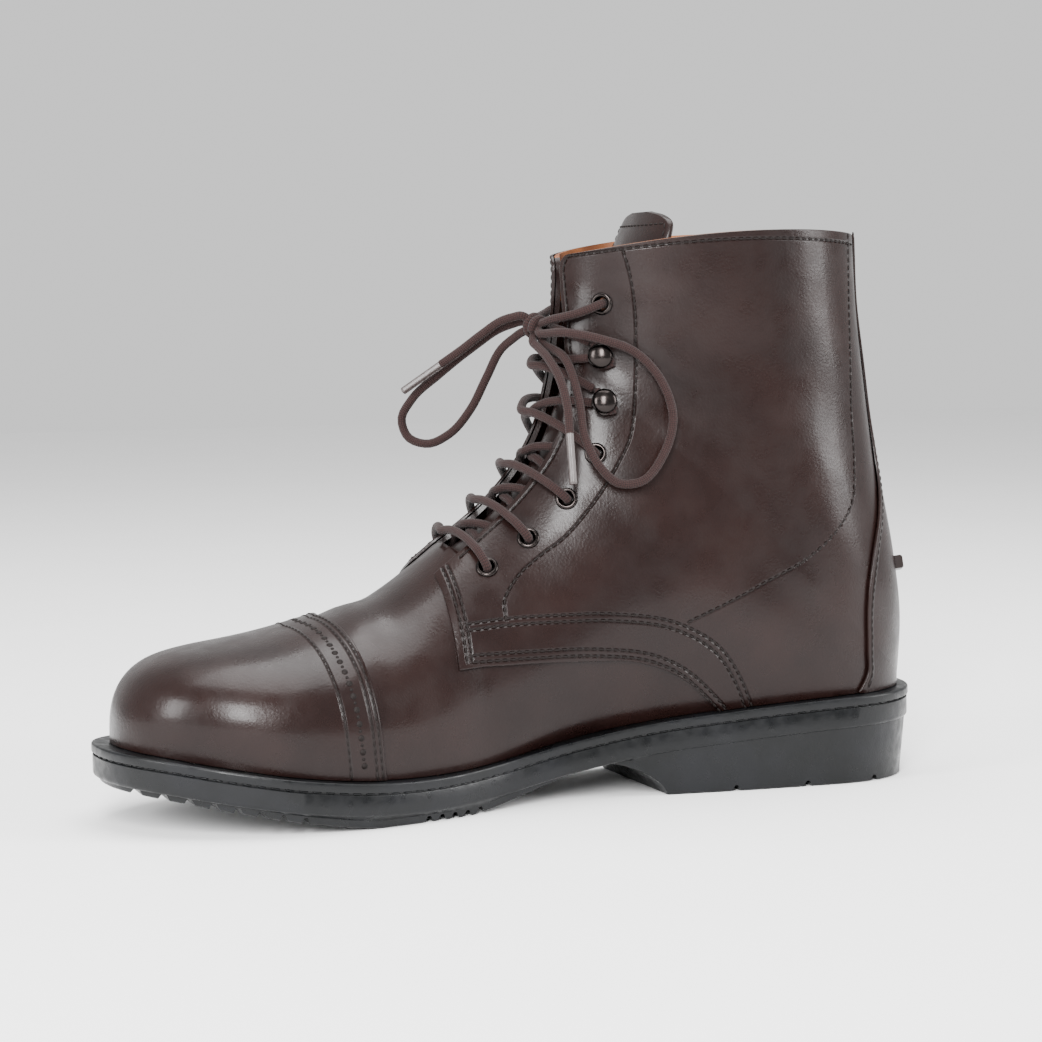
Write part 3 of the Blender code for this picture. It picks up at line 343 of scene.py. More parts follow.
@dataclass(frozen=True)
class Crease:
    """A soft trough, or a ridge where the depth is negative, along places on the skin.

    The places are a step and a share, with a negative share for the lateral side.
    """

    places: tuple[tuple[float, float], ...]
    width: float
    depth: float


CREASES = (
    Crease(((0.70, 0.45), (0.74, 0.75), (0.75, 1.0), (0.74, -0.75), (0.70, -0.45)), 5.0 * MM, 0.34 * MM),
    Crease(((0.80, 0.40), (0.84, 0.70), (0.85, 1.0), (0.84, -0.70), (0.80, -0.40)), 5.0 * MM, 0.42 * MM),
    Crease(((0.75, 0.42), (0.79, 0.72), (0.80, 1.0), (0.79, -0.72), (0.75, -0.42)), 4.0 * MM, -0.20 * MM),
    Crease(((8.4, 0.74), (8.0, 0.55), (8.4, 0.36), (9.4, 0.20)), 11.0 * MM, 0.9 * MM),
    Crease(((10.8, 0.72), (10.4, 0.52), (10.8, 0.34)), 10.0 * MM, 0.7 * MM),
    Crease(((6.2, 0.78), (5.6, 0.62), (5.9, 0.47)), 9.0 * MM, 0.6 * MM),
    Crease(((9.6, 0.70), (9.2, 0.52), (9.6, 0.34)), 8.0 * MM, -0.5 * MM),
    Crease(((8.6, -0.74), (8.2, -0.55), (8.6, -0.36), (9.6, -0.20)), 11.0 * MM, 0.8 * MM),
    Crease(((11.0, -0.72), (10.6, -0.52), (11.0, -0.34)), 9.0 * MM, 0.6 * MM),
    Crease(((14.6, 0.60), (15.4, 0.42), (15.0, 0.25)), 16.0 * MM, 0.6 * MM),
    Crease(((14.2, -0.62), (15.0, -0.42), (14.6, -0.25)), 16.0 * MM, 0.5 * MM),
)


def column(rows: Sequence[Sequence], index: int) -> np.ndarray:
    """Return one column of a table as an array."""
    return np.array([row[index] for row in rows], float)


def smooth(places: np.ndarray, values: np.ndarray, at: Values) -> Values:
    """Read a smooth curve through a table's values.

    Args:
        places: Rising places of the table's rows.
        values: The value of each row.
        at: One place or several.

    Returns:
        The curve's value at each place.
    """
    slopes = np.gradient(values, places)
    at = np.clip(at, places[0], places[-1])
    low = np.clip(np.searchsorted(places, at, side="right") - 1, 0, len(places) - 2)
    span = places[low + 1] - places[low]
    t = (at - places[low]) / span
    start = (2 * t**3 - 3 * t**2 + 1) * values[low] + (t**3 - 2 * t**2 + t) * span * slopes[low]
    end = (3 * t**2 - 2 * t**3) * values[low + 1] + (t**3 - t**2) * span * slopes[low + 1]
    return start + end


def rounded(distance: Values, bend: float) -> Values:
    """Return the width left by a rounded end, for a distance of 0 to 1 into it."""
    return (1 - np.clip(distance, 0, 1) ** bend) ** (1 / bend)


def lengths_along(points: np.ndarray) -> np.ndarray:
    """Return the distance of each point from the first along a line of points."""
    return np.concatenate([[0], np.cumsum(np.linalg.norm(np.diff(points, axis=0), axis=1))])


def between(at: np.ndarray, along: np.ndarray, rows: np.ndarray) -> np.ndarray:
    """Read rows of three values, which stand at distances, at other distances along the same line."""
    return np.stack([np.interp(at, along, rows[:, k]) for k in range(3)], axis=1)


def route(points: Sequence, spacing: float) -> np.ndarray:
    """Return evenly spaced points on a smooth curve through the given ones.

    Args:
        points: Points that the curve goes through.
        spacing: Distance between the points that are returned.

    Returns:
        An array of points.
    """
    points = np.array(points, float)
    along = lengths_along(points)
    count = max(int(round(along[-1] / spacing)), 4)
    at = np.linspace(0, along[-1], count + 1)
    return np.stack([smooth(along, points[:, k], at) for k in range(3)], axis=1)


@dataclass
class Last:
    """The last of the boot: the outline of its sole and the skin of its upper."""

    sole_length: float = 0.293
    ball_width: float = 0.103
    waist_width: float = 0.068
    heel_width: float = 0.070
    seat_height: float = 0.0315
    forepart_height: float = 0.0142
    toe_spring: float = 0.0122
    toe_swing: float = 0.005
    heel_breast: float = 0.101
    breast_slope: float = 0.021
    toe_margin: float = 0.0076
    heel_margin: float = 0.0063
    side_margin: float = 0.0062
    instep_height: float = 0.066
    collar_height: float = 0.1902
    collar_drop: float = 0.0065
    collar_length: float = 0.107
    collar_width: float = 0.064
    ankle_width: float = 0.070
    collar_bow: float = 0.0040
    back_lean: float = 0.0150
    throat_gap: float = 0.030
    collar_gap: float = 0.004
    fit_gap: float = 0.0003
    heel_round: float = 0.125
    heel_bend: float = 2.25
    toe_round: float = 0.21
    toe_bend: float = 2.15
    swing_start: float = 0.60
    throat_along: float = 0.585
    toe_box_round: float = 0.13
    toe_box_bend: float = 3.0
    throat_step: float = 1.0
    back_step: float = 10.0
    collar_step: float = 19.0
    collar_corner: float = 0.0065
    grid_step: float = 0.02
    grid_shares: int = 240
    samples: int = 129

    def __post_init__(self) -> None:
        """Work out the skin of both sides on a fine grid of steps and shares."""
        self.gauges = {"heel": self.heel_width, "waist": self.waist_width, "ball": self.ball_width,
                       "ankle": self.ankle_width, "collar": self.collar_width}
        along = np.linspace(0, 1, 400)
        medial, lateral = (self.outline(along, side)[1] for side in SIDES)
        self.middle = (max(medial) + min(lateral)) / 2
        self.last_length = self.sole_length - self.toe_margin - self.heel_margin
        self.ankle = self._ankle_table()
        count = int(round(self.collar_step / self.grid_step))
        self.steps = np.linspace(0, self.collar_step, count + 1)
        self.crests = np.array([self.section(step)[2:4] for step in self.steps])
        self.skin = {}
        self.normals = {}
        self.arcs = {}
        for side in SIDES:
            self._fill_grid(side)
        self.fronts = {side: self._counter_arcs(side) for side in SIDES}
        self.dents = [(self._crease_line(crease), crease) for crease in CREASES]

    def outline(self, along: Values, side: Side, margin: Values = 0.0, toe_margin: Values = 0.0,
                heel_margin: Values = 0.0) -> tuple[Values, Values]:
        """Return the place along the foot and the sideways reach of the outline of the sole."""
        half = np.array([self.gauges[row[1]] / 2 - margin for row in OUTLINE_ROWS])
        half = half * column(OUTLINE_ROWS, 2 if side is Side.MEDIAL else 3)
        reach = smooth(column(OUTLINE_ROWS, 0), half, along)
        reach = reach * rounded(1 - along / self.heel_round, self.heel_bend)
        reach = reach * rounded((along - 1 + self.toe_round) / self.toe_round, self.toe_bend)
        place = heel_margin + along * (self.sole_length - heel_margin - toe_margin)
        return place, self.centre_line(place) + side.value * reach

    def centre_line(self, place: Values) -> Values:
        """Return the sideways swing of the middle of the forefoot."""
        forward = np.clip((place / self.sole_length - self.swing_start) / (1 - self.swing_start), 0, 1)
        return self.toe_swing * forward**1.5

    def sole_top(self, place: Values) -> Values:
        """Return the height of the top of the sole at a place along it."""
        along = np.clip(place / self.sole_length, 0, 1)
        heel = smooth(column(TOP_LINE_ROWS, 0), column(TOP_LINE_ROWS, 1), along)
        toe = smooth(column(TOP_LINE_ROWS, 0), column(TOP_LINE_ROWS, 2), along)
        rise = self.seat_height - self.forepart_height
        return self.forepart_height + rise * heel + self.toe_spring * toe

    def sole_bottom(self, place: Values) -> Values:
        """Return the height of the tread, which is flat under the heel and under the ball."""
        place = np.asarray(place, float)
        along = np.clip(place / self.sole_length, 0, 1)
        thick = self.forepart_height * smooth(column(THICKNESS_ROWS, 0), column(THICKNESS_ROWS, 1), along)
        bottom = np.maximum(self.sole_top(place) - thick, 0)
        return bottom * np.clip((place - self.heel_breast) / self.breast_slope, 0, 1) ** 0.6

    def back_seam(self, climb: float) -> tuple[float, float]:
        """Return the place and height of the back seam of the upper."""
        lean = smooth(column(BACK_ROWS, 0), column(BACK_ROWS, 1), climb)
        seat = self.sole_top(self.heel_margin) + self.fit_gap
        return self.heel_margin + self.back_lean * lean, seat + climb * (self.collar_height - seat)

    def _vamp_section(self, along: float) -> np.ndarray:
        """Return an upright section of the vamp: its foot, crest, widths and bends."""
        places = column(VAMP_ROWS, 0)
        crest, fullness, belly, dome = (smooth(places, column(VAMP_ROWS, k), along) for k in range(1, 5))
        margins = (self.side_margin, self.toe_margin, self.heel_margin)
        place, medial = self.outline(along, Side.MEDIAL, *margins)
        lateral = self.outline(along, Side.LATERAL, *margins)[1]
        seat = self.sole_top(place) + self.fit_gap
        crest = crest * rounded((along - 1 + self.toe_box_round) / self.toe_box_round, self.toe_box_bend)
        middle = self.centre_line(place)
        foot = (medial - middle, middle - lateral)
        return np.array([
            place, seat, place, seat + self.instep_height * crest,
            fullness * foot[0], fullness * foot[1], foot[0], foot[1], belly, 2.0, dome, middle, 0.0,
        ])

    def _ankle_table(self) -> np.ndarray:
        """Return the turned sections as numbers, with the vamp's last two ahead of them."""
        throat = self._vamp_section(self.throat_along)
        front = self.heel_margin + self.back_lean + self.collar_length
        rise = self.collar_height - self.collar_drop - throat[3]
        rows = []
        for along in (2 * self.throat_along - ANKLE_ROWS[0][0], self.throat_along):
            part = self._vamp_section(along)
            rows.append([along, 0.0, *part[2:6], *part[8:12]])
        for foot, climb, reach, crest, gauge, medial, lateral, belly, bend, dome in ANKLE_ROWS:
            half = self.gauges[gauge] / 2
            rows.append([
                foot, climb, front + reach * (throat[2] - front), throat[3] + crest * rise,
                half * medial, half * lateral, belly, bend, dome, 0.0,
            ])
        return np.array(rows)

    def step_at(self, along: Values) -> Values:
        """Return the step of the upright section at a share of the last's length."""
        return np.arccos(1 - (1 - along) / (1 - self.throat_along)) * 2 / math.pi

    def section(self, step: float) -> np.ndarray:
        """Return the section at a step.

        Args:
            step: 0 at the toe, 1 at the throat, then one a row to the collar.

        Returns:
            Foot place and height, crest place and height, widest reaches, foot reaches, belly,
            back bend, dome, middle and bow.
        """
        if step <= 1:
            return self._vamp_section(1 - (1 - self.throat_along) * (1 - math.cos(step * math.pi / 2)))
        rows = np.arange(len(self.ankle))
        values = [float(smooth(rows, self.ankle[:, k], step)) for k in range(10)]
        foot, climb, crest_place, crest_height, medial, lateral, belly, bend, dome, middle = values
        foot = max(foot, 0.0)
        climb = max(climb, 0.0)
        if foot > 0:
            margins = (self.side_margin, self.toe_margin, self.heel_margin)
            place, near = self.outline(foot, Side.MEDIAL, *margins)
            far = self.outline(foot, Side.LATERAL, *margins)[1]
            height = self.sole_top(place) + self.fit_gap
        else:
            place, height = self.back_seam(climb)
            near = far = 0.0
        return np.array([
            place, height, crest_place, crest_height, medial, lateral,
            abs(near - middle), abs(far - middle), belly, bend, dome, middle, self.collar_bow * climb**3,
        ])

    def _rib(self, step: float, side: Side) -> tuple[np.ndarray, np.ndarray]:
        """Return points along a section, from its foot or back to its crest, and their arc lengths."""
        part = self.section(step)
        if step <= 0:
            return np.tile([part[0], part[11], part[1]], (self.samples, 1)), np.zeros(self.samples)
        widest, foot = (part[4], part[6]) if side is Side.MEDIAL else (part[5], part[7])
        belly, bend, dome = part[8:11]
        base = min(foot / widest, 0.985)
        below = belly / (1 - base**bend) ** (1 / bend)
        turn = np.linspace(-math.acos(base ** (bend / 2)), math.pi / 2, self.samples)
        power = np.where(turn < 0, 2 / bend, 2 / dome)
        rise = np.sign(turn) * np.abs(np.sin(turn)) ** power
        share = belly + rise * np.where(turn < 0, below, 1 - belly)
        reach = widest * np.cos(turn).clip(0) ** power
        share[0] = 0.0
        across = part[2:4] - part[0:2]
        normal = np.array([across[1], -across[0]]) / max(np.hypot(*across), 1e-9)
        bowed = part[12] * 4 * share * (1 - share)
        place = part[0] + across[0] * share - normal[0] * bowed
        height = part[1] + across[1] * share - normal[1] * bowed
        points = np.stack([place, part[11] + side.value * reach, height], axis=1)
        return points, lengths_along(points)

    def _fill_grid(self, side: Side) -> None:
        """Work out one side's skin, its normals and its arc lengths."""
        shares = np.linspace(0, 1, self.grid_shares + 1)
        grid = np.zeros((len(self.steps), len(shares), 3))
        arcs = np.zeros(len(self.steps))
        for row, step in enumerate(self.steps):
            points, lengths = self._rib(step, side)
            arcs[row] = lengths[-1]
            for k in range(3):
                grid[row, :, k] = np.interp(shares * max(lengths[-1], 1e-9), lengths, points[:, k])
        back = int(round(self.back_step / self.grid_step))
        along = np.concatenate([np.gradient(grid[:back], axis=0), np.gradient(grid[back:], axis=0)])
        around = np.gradient(grid, axis=1)
        normal = np.cross(along, around) * side.value
        normal[:, -1, 1] = 0
        normal[back:, 0, 1] = 0
        normal[0] = (1, 0, 0)
        normal /= np.maximum(np.linalg.norm(normal, axis=2), 1e-15)[:, :, None]
        self.skin[side] = grid
        self.normals[side] = normal
        self.arcs[side] = arcs

    def arc(self, step: Values, side: Side) -> Values:
        """Return the length of a section's arc on one side, at one step or several."""
        return np.interp(step, self.steps, self.arcs[side])

    def crest(self, step: Values) -> Values:
        """Return the place and the height of the crest at one step or several."""
        return np.stack([np.interp(step, self.steps, self.crests[:, k]) for k in range(2)], axis=-1)

    def read(self, steps: Values, shares: Values, side: Side) -> tuple[np.ndarray, np.ndarray]:
        """Read points and normals of the skin.

        Args:
            steps: Steps of the points.
            shares: Shares of the points, as many as the steps.
            side: The side of the boot.

        Returns:
            The points and their outward normals, in the boot's frame.
        """
        row = np.clip(np.asarray(steps, float) / self.grid_step, 0, len(self.steps) - 1.000001)
        col = np.clip(np.asarray(shares, float), 0, 1) * self.grid_shares
        col = np.minimum(col, self.grid_shares - 0.000001)
        row, col = np.broadcast_arrays(row, col)
        r, c = row.astype(int), col.astype(int)
        u, v = (row - r)[..., None], (col - c)[..., None]
        out = []
        for grid in (self.skin[side], self.normals[side]):
            out.append((grid[r, c] * (1 - u) + grid[r + 1, c] * u) * (1 - v)
                       + (grid[r, c + 1] * (1 - u) + grid[r + 1, c + 1] * u) * v)
        normal = out[1] / np.maximum(np.linalg.norm(out[1], axis=-1), 1e-12)[..., None]
        return self.to_frame(out[0]), np.stack([normal[..., 1], -normal[..., 0], normal[..., 2]], axis=-1)

    def to_frame(self, point: np.ndarray) -> np.ndarray:
        """Turn places along the foot, reaches and heights into the frame's X, Y and Z."""
        point = np.asarray(point, float)
        forward = self.sole_length / 2 - point[..., 0]
        return np.stack([point[..., 1] - self.middle, forward, point[..., 2]], axis=-1)

    def _crease_line(self, crease: Crease) -> np.ndarray:
        """Return the points of a crease on the skin."""
        points = []
        for step, share in crease.places:
            side = Side.MEDIAL if share >= 0 else Side.LATERAL
            points.append(self.read(step, abs(share), side)[0])
        return route(points, 2 * MM)

    def sunk(self, points: np.ndarray) -> np.ndarray:
        """Return how far the creases press each point in."""
        depth = np.zeros(points.shape[:-1])
        flat = points.reshape(-1, 3)
        for line, crease in self.dents:
            reach = 3 * crease.width
            near = np.all((flat > line.min(0) - reach) & (flat < line.max(0) + reach), axis=1)
            if not near.any():
                continue
            away = np.linalg.norm(flat[near][:, None] - line[None], axis=2).min(1)
            depth.reshape(-1)[near] += crease.depth * np.exp(-((away / crease.width) ** 2))
        return depth

    def raised(self, steps: Values, shares: Values, side: Side, lift: Values) -> np.ndarray:
        """Return points above the skin.

        Args:
            steps: Steps of the points.
            shares: Shares of the points.
            side: The side of the boot.
            lift: Height above the skin, one or one a point.

        Returns:
            The points in the boot's frame, kept above the sole.
        """
        points, normals = self.read(steps, shares, side)
        lift = np.asarray(lift, float) - self.sunk(points)
        raised = points + normals * lift[..., None]
        floor = self.sole_top(self.sole_length / 2 - raised[..., 1]) + self.fit_gap
        raised[..., 2] = np.maximum(raised[..., 2], floor)
        return raised

    def facing_share(self, step: Values, side: Side, extra: Values = 0.0) -> Values:
        """Return the share at the edge of the facing, or further back by an extra."""
        start = self.crest(self.throat_step)[1]
        top = self.collar_height - self.collar_drop
        height = self.crest(step)[..., 1]
        change = smooth(column(GAP_ROWS, 0), column(GAP_ROWS, 1), (height - start) / (top - start))
        half = (self.throat_gap + (self.collar_gap - self.throat_gap) * change) / 2
        return 1 - (half + extra) / self.arc(step, side)

    def facing_edge(self, step: Values, side: Side, extra: Values = 0.0) -> Values:
        """Return the share at the facing's edge, with the corner at the collar rounded off."""
        below = self.collar_height - self.collar_drop - self.crest(step)[..., 1]
        into = np.clip(1 - below / self.collar_corner, 0, 1)
        corner = self.collar_corner * (1 - np.sqrt(1 - into**2))
        return self.facing_share(step, side, extra + corner)

    def quarter_foot(self, step: Values, side: Side) -> Values:
        """Return the share at the lower cut edge of the quarters."""
        arc = self.instep_height * smooth(column(QUARTER_ROWS, 0), column(QUARTER_ROWS, 1), step)
        return np.where(step >= QUARTER_ROWS[-1][0], 0.0, arc / self.arc(step, side))

    def _counter_arcs(self, side: Side) -> np.ndarray:
        """Return the arc at each step that reaches the counter's edge, a smooth line in the side view."""
        steps = column(COUNTER_ROWS, 0)
        rows = np.round(steps / self.grid_step).astype(int)
        shares = self.heel_width * column(COUNTER_ROWS, 1) / self.arcs[side][rows]
        cols = np.round(shares * self.grid_shares).astype(int)
        edge = self.skin[side][rows, cols]
        arcs = np.zeros(len(self.steps))
        for row in range(rows[0], len(self.steps)):
            rib = self.skin[side][row]
            ahead = rib[:, 0] - smooth(edge[:, 2], edge[:, 0], rib[:, 2])
            over = int(np.argmax(ahead > 0))
            part = ahead[over - 1] / (ahead[over - 1] - ahead[over]) if over else 0.0
            arcs[row] = max(over - 1 + part, 0.0) / self.grid_shares * self.arcs[side][row]
        return arcs

    def counter_front(self, step: Values, side: Side, inward: Values = 0.0) -> Values:
        """Return the share at the front edge of the counter, or further back by an inward move."""
        arc = np.interp(step, self.steps, self.fronts[side])
        return np.maximum(arc - inward, 0.0) / self.arc(step, side)

    def climb_step(self, climb: float) -> float:
        """Return the step whose crest has climbed a share of the way from the throat to the collar."""
        low = self.crest(self.throat_step)[1]
        high = self.crest(self.collar_step)[1]
        start = int(round(self.throat_step / self.grid_step))
        return float(np.interp(low + climb * (high - low), self.crests[start:, 1], self.steps[start:]))

    def crest_step(self, point: np.ndarray) -> float:
        """Return the step whose crest lies nearest to a point of the frame, seen from the side."""
        place = self.sole_length / 2 - point[1]
        start = int(round(self.throat_step / self.grid_step))
        away = np.hypot(self.crests[start:, 0] - place, self.crests[start:, 1] - point[2])
        return float(self.steps[start + int(np.argmin(away))])


def linear(code: str) -> tuple[float, float, float, float]:
    """Turn an sRGB hex value into a linear colour."""
    parts = [int(code[k:k + 2], 16) / 255 for k in (1, 3, 5)]
    return (*[part / 12.92 if part <= 0.04045 else ((part + 0.055) / 1.055) ** 2.4 for part in parts], 1.0)


def add_node(tree: bpy.types.NodeTree, kind: str, inputs: Optional[dict] = None,
             **settings) -> bpy.types.Node:
    """Add a node.

    Args:
        tree: The tree that the node goes into.
        kind: The node's type.
        inputs: Values or sockets for its inputs, by name or number.
        settings: Values for its other settings.

    Returns:
        The new node.
    """
    made = tree.nodes.new(kind)
    for key, value in settings.items():
        setattr(made, key, value)
    for key, value in (inputs or {}).items():
        if isinstance(value, bpy.types.NodeSocket):
            tree.links.new(value, made.inputs[key])
        else:
            made.inputs[key].default_value = value
    return made


@dataclass(frozen=True)
class Seam:
    """A sewn row as the leather shows it: its attribute and half the gap between its two lines."""

    name: str
    half_gap: float = 0.0


BAND_GAP = 1.15
SEAMS = (
    Seam("band_top", BAND_GAP),
    Seam("band_foot", BAND_GAP),
    Seam("quarter_front", 0.95),
    Seam("facing_edge"),
    Seam("facing_seam"),
    Seam("shaft_seam"),
    Seam("collar_row"),
    Seam("cap_rear", 1.0),
    Seam("cap_front"),
    Seam("counter_row"),
)


class Finish:
    """A surface's material, with a tree that starts from a plain shader."""

    def __init__(self, name: str) -> None:
        """Make an empty material with a shader and its coordinates."""
        self.material = bpy.data.materials.new(name)
        self.material.use_nodes = True
        self.tree = self.material.node_tree
        self.shader = self.tree.nodes["Principled BSDF"]
        self.coordinates = add_node(self.tree, "ShaderNodeTexCoord")

    def add(self, kind: str, inputs: Optional[dict] = None, **settings) -> bpy.types.Node:
        """Add a node to the material's tree."""
        return add_node(self.tree, kind, inputs, **settings)

    def math(self, operation: str, first: Input, second: Input = 0.0) -> bpy.types.NodeSocket:
        """Return the result of a calculation on two values or sockets."""
        return self.add("ShaderNodeMath", {0: first, 1: second}, operation=operation).outputs[0]

    def noise(self, size: float, detail: float = 2.0,
              coordinates: Optional[bpy.types.NodeSocket] = None) -> bpy.types.NodeSocket:
        """Return a soft noise whose lumps have a size in metres."""
        vector = coordinates or self.coordinates.outputs["Object"]
        made = self.add("ShaderNodeTexNoise", {"Vector": vector, "Scale": 1 / size, "Detail": detail})
        return made.outputs["Fac"]

    def cells(self, size: float, feature: str = "F1") -> bpy.types.NodeSocket:
        """Return the distance field of cells of a size in metres."""
        vector = self.coordinates.outputs["Object"]
        made = self.add("ShaderNodeTexVoronoi", {"Vector": vector, "Scale": 1 / size}, feature=feature)
        return made.outputs["Distance"]

    def spread(self, value, low: float, high: float, to_low: float, to_high: float,
               kind: str = "SMOOTHSTEP") -> bpy.types.NodeSocket:
        """Map a value from one range to another, held at both ends."""
        made = self.add("ShaderNodeMapRange", {0: value, 1: low, 2: high, 3: to_low, 4: to_high},
                        interpolation_type=kind)
        return made.outputs[0]

    def mixed(self, share: Input, first: Input, second: Input) -> bpy.types.NodeSocket:
        """Mix two colours by a share."""
        made = self.add("ShaderNodeMix", {0: share, 6: first, 7: second}, data_type="RGBA")
        return made.outputs[2]

    def bump(self, height: Input) -> None:
        """Give the shader a relief from a height in metres."""
        made = self.add("ShaderNodeBump", {"Height": height, "Distance": 1.0, "Strength": 1.0})
        self.tree.links.new(made.outputs["Normal"], self.shader.inputs["Normal"])

    def set(self, **values) -> None:
        """Set or link the shader's inputs; an underscore in a name stands for a space."""
        for key, value in values.items():
            socket = self.shader.inputs[key.replace("_", " ")]
            if isinstance(value, bpy.types.NodeSocket):
                self.tree.links.new(value, socket)
            else:
                socket.default_value = value


@dataclass(frozen=True)
class SmoothLeather:
    """Corrected-grain cowhide with a polished finish: broad soft highlights over a fine grain."""

    name: str = "polished_cowhide"
    deep: str = "#120807"
    light: str = "#1b0f0d"
    # Colour of the painted shade in the sewn rows' pressed-in grooves
    groove: str = "#080302"
    grain: float = 0.85 * MM
    grain_depth: float = 0.042 * MM
    ripple: float = 5.5 * MM
    ripple_depth: float = 0.060 * MM
    seam_depth: float = 0.36 * MM
    seam_width: float = 0.9
    roughness: tuple[float, float] = (0.25, 0.36)
    sewn: bool = True

    def make(self) -> bpy.types.Material:
        """Return the leather's material."""
        finish = Finish(self.name)
        cells = finish.cells(self.grain, "SMOOTH_F1")
        fine = finish.noise(self.grain / 2.2, 3.0)
        soft = finish.noise(self.ripple, 2.0)
        cloud = finish.noise(26 * MM, 3.0)
        height = finish.math("MULTIPLY", cells, self.grain_depth)
        height = finish.math("ADD", height, finish.math("MULTIPLY", fine, self.grain_depth * 0.8))
        height = finish.math("ADD", height, finish.math("MULTIPLY", soft, self.ripple_depth))
        colour = finish.mixed(finish.spread(cloud, 0.2, 0.8, 0, 1), linear(self.deep), linear(self.light))
        if self.sewn:
            pressed = self._pressed(finish)
            height = finish.math("SUBTRACT", height, finish.math("MULTIPLY", pressed, self.seam_depth))
            # Painted shade: along the sewn rows the leather is darkened towards the groove colour, standing
            # in for shade in the pressed-in grooves.
            colour = finish.mixed(finish.math("MULTIPLY", pressed, 0.6), colour, linear(self.groove))
        finish.bump(height)
        rough = finish.spread(finish.noise(9 * MM, 3.0), 0.3, 0.7, *self.roughness)
        finish.set(Base_Color=colour, Roughness=rough, IOR=1.5, Specular_IOR_Level=0.17)
        finish.set(Coat_Weight=0.08, Coat_Roughness=0.14)
        return finish.material

    def _pressed(self, finish: Finish) -> bpy.types.NodeSocket:
        """Return how much the sewn rows press the leather in, from 0 to 1; it drives both the grooves' bump
        and their painted shade.
        """
        total = None
        for seam in SEAMS:
            read = finish.add("ShaderNodeAttribute", attribute_name=seam.name, attribute_type="GEOMETRY")
            parts = finish.add("ShaderNodeSeparateXYZ", {0: read.outputs["Vector"]})
            away = finish.math("SUBTRACT", finish.math("ABSOLUTE", parts.outputs[0]), seam.half_gap)
            line = finish.spread(finish.math("ABSOLUTE", away), 0.05, self.seam_width, 1, 0)
            near = finish.spread(parts.outputs[1], seam.half_gap + 0.8, seam.half_gap + 1.8, 1, 0)
            here = finish.math("MULTIPLY", line, near)
            here = finish.math("MULTIPLY", here, parts.outputs[2])
            total = here if total is None else finish.math("MAXIMUM", total, here)
        return total


@dataclass(frozen=True)
class Lining:
    """Tan split-leather lining: matt, a little fibrous, lighter than the outside."""

    name: str = "tan_lining"
    deep: str = "#5c3219"
    light: str = "#8a5430"

    def make(self) -> bpy.types.Material:
        """Return the lining's material."""
        finish = Finish(self.name)
        fibre = finish.noise(0.6 * MM, 4.0)
        cloud = finish.noise(14 * MM, 2.0)
        finish.bump(finish.math("MULTIPLY", fibre, 0.08 * MM))
        colour = finish.mixed(finish.spread(cloud, 0.3, 0.7, 0, 1), linear(self.deep), linear(self.light))
        finish.set(Base_Color=colour, Roughness=0.72, IOR=1.45)
        return finish.material


@dataclass(frozen=True)
class MouldedRubber:
    """Moulded black rubber: satin, with fine pits and a bluish grey bloom in the light."""

    name: str = "moulded_rubber"
    deep: str = "#040506"
    light: str = "#0b0c0f"

    def make(self) -> bpy.types.Material:
        """Return the rubber's material."""
        finish = Finish(self.name)
        pits = finish.noise(0.7 * MM, 4.0)
        waves = finish.noise(6 * MM, 2.0)
        cloud = finish.noise(18 * MM, 4.0)
        height = finish.math("MULTIPLY", pits, 0.05 * MM)
        height = finish.math("ADD", height, finish.math("MULTIPLY", waves, 0.12 * MM))
        finish.bump(height)
        colour = finish.mixed(finish.spread(cloud, 0.35, 0.7, 0, 1), linear(self.deep), linear(self.light))
        rough = finish.spread(finish.noise(4 * MM, 3.0), 0.3, 0.7, 0.26, 0.44)
        finish.set(Base_Color=colour, Roughness=rough, IOR=1.52, Specular_IOR_Level=0.24)
        return finish.material


@dataclass(frozen=True)
class PlatedMetal:
    """Dark gunmetal plating on stamped steel: glossy, nearly black, with bright rims."""

    name: str = "gunmetal_plating"
    colour: str = "#2b2726"
    roughness: float = 0.20

    def make(self) -> bpy.types.Material:
        """Return the metal's material."""
        finish = Finish(self.name)
        cloud = finish.noise(1.5 * MM, 2.0)
        finish.bump(finish.math("MULTIPLY", cloud, 0.01 * MM))
        rough = finish.spread(cloud, 0.3, 0.7, self.roughness * 0.8, self.roughness * 1.3)
        finish.set(Base_Color=linear(self.colour), Roughness=rough, Metallic=1.0)
        return finish.material


@dataclass(frozen=True)
class BraidedCord:
    """Round braided cotton lace: matt brown, its strands crossing in a fine herringbone."""

    name: str = "braided_lace"
    deep: str = "#0f0606"
    light: str = "#2a1715"
    strands: float = 7.0
    pitch: float = 1.5
    depth: float = 0.16 * MM

    def make(self) -> bpy.types.Material:
        """Return the lace's material; the UV map runs round it and along it in millimetres."""
        finish = Finish(self.name)
        parts = finish.add("ShaderNodeSeparateXYZ", {0: finish.coordinates.outputs["UV"]})
        around = finish.math("MULTIPLY", parts.outputs[0], 2 * math.pi * self.strands)
        along = finish.math("MULTIPLY", parts.outputs[1], 2 * math.pi / self.pitch)
        first = finish.math("SINE", finish.math("ADD", around, along))
        second = finish.math("SINE", finish.math("SUBTRACT", around, along))
        crossed = finish.math("ADD", finish.math("MULTIPLY", first, second), 1.0)
        braid = finish.math("MULTIPLY", crossed, 0.5)
        fibre = finish.noise(0.35 * MM, 3.0)
        height = finish.math("MULTIPLY", braid, self.depth)
        height = finish.math("ADD", height, finish.math("MULTIPLY", fibre, 0.05 * MM))
        finish.bump(height)
        # Painted shade: the colour is darker in the hollows between the braid's strands, mixed with a
        # random fibre tone.
        braid_shade_and_fibre_tone = finish.math("ADD", finish.math("MULTIPLY", braid, 0.7), finish.math("MULTIPLY", fibre, 0.4))
        colour = finish.mixed(finish.spread(braid_shade_and_fibre_tone, 0.15, 0.95, 0, 1), linear(self.deep), linear(self.light))
        finish.set(Base_Color=colour, Roughness=0.82, IOR=1.5, Specular_IOR_Level=0.2, Sheen_Weight=0.05)
        return finish.material


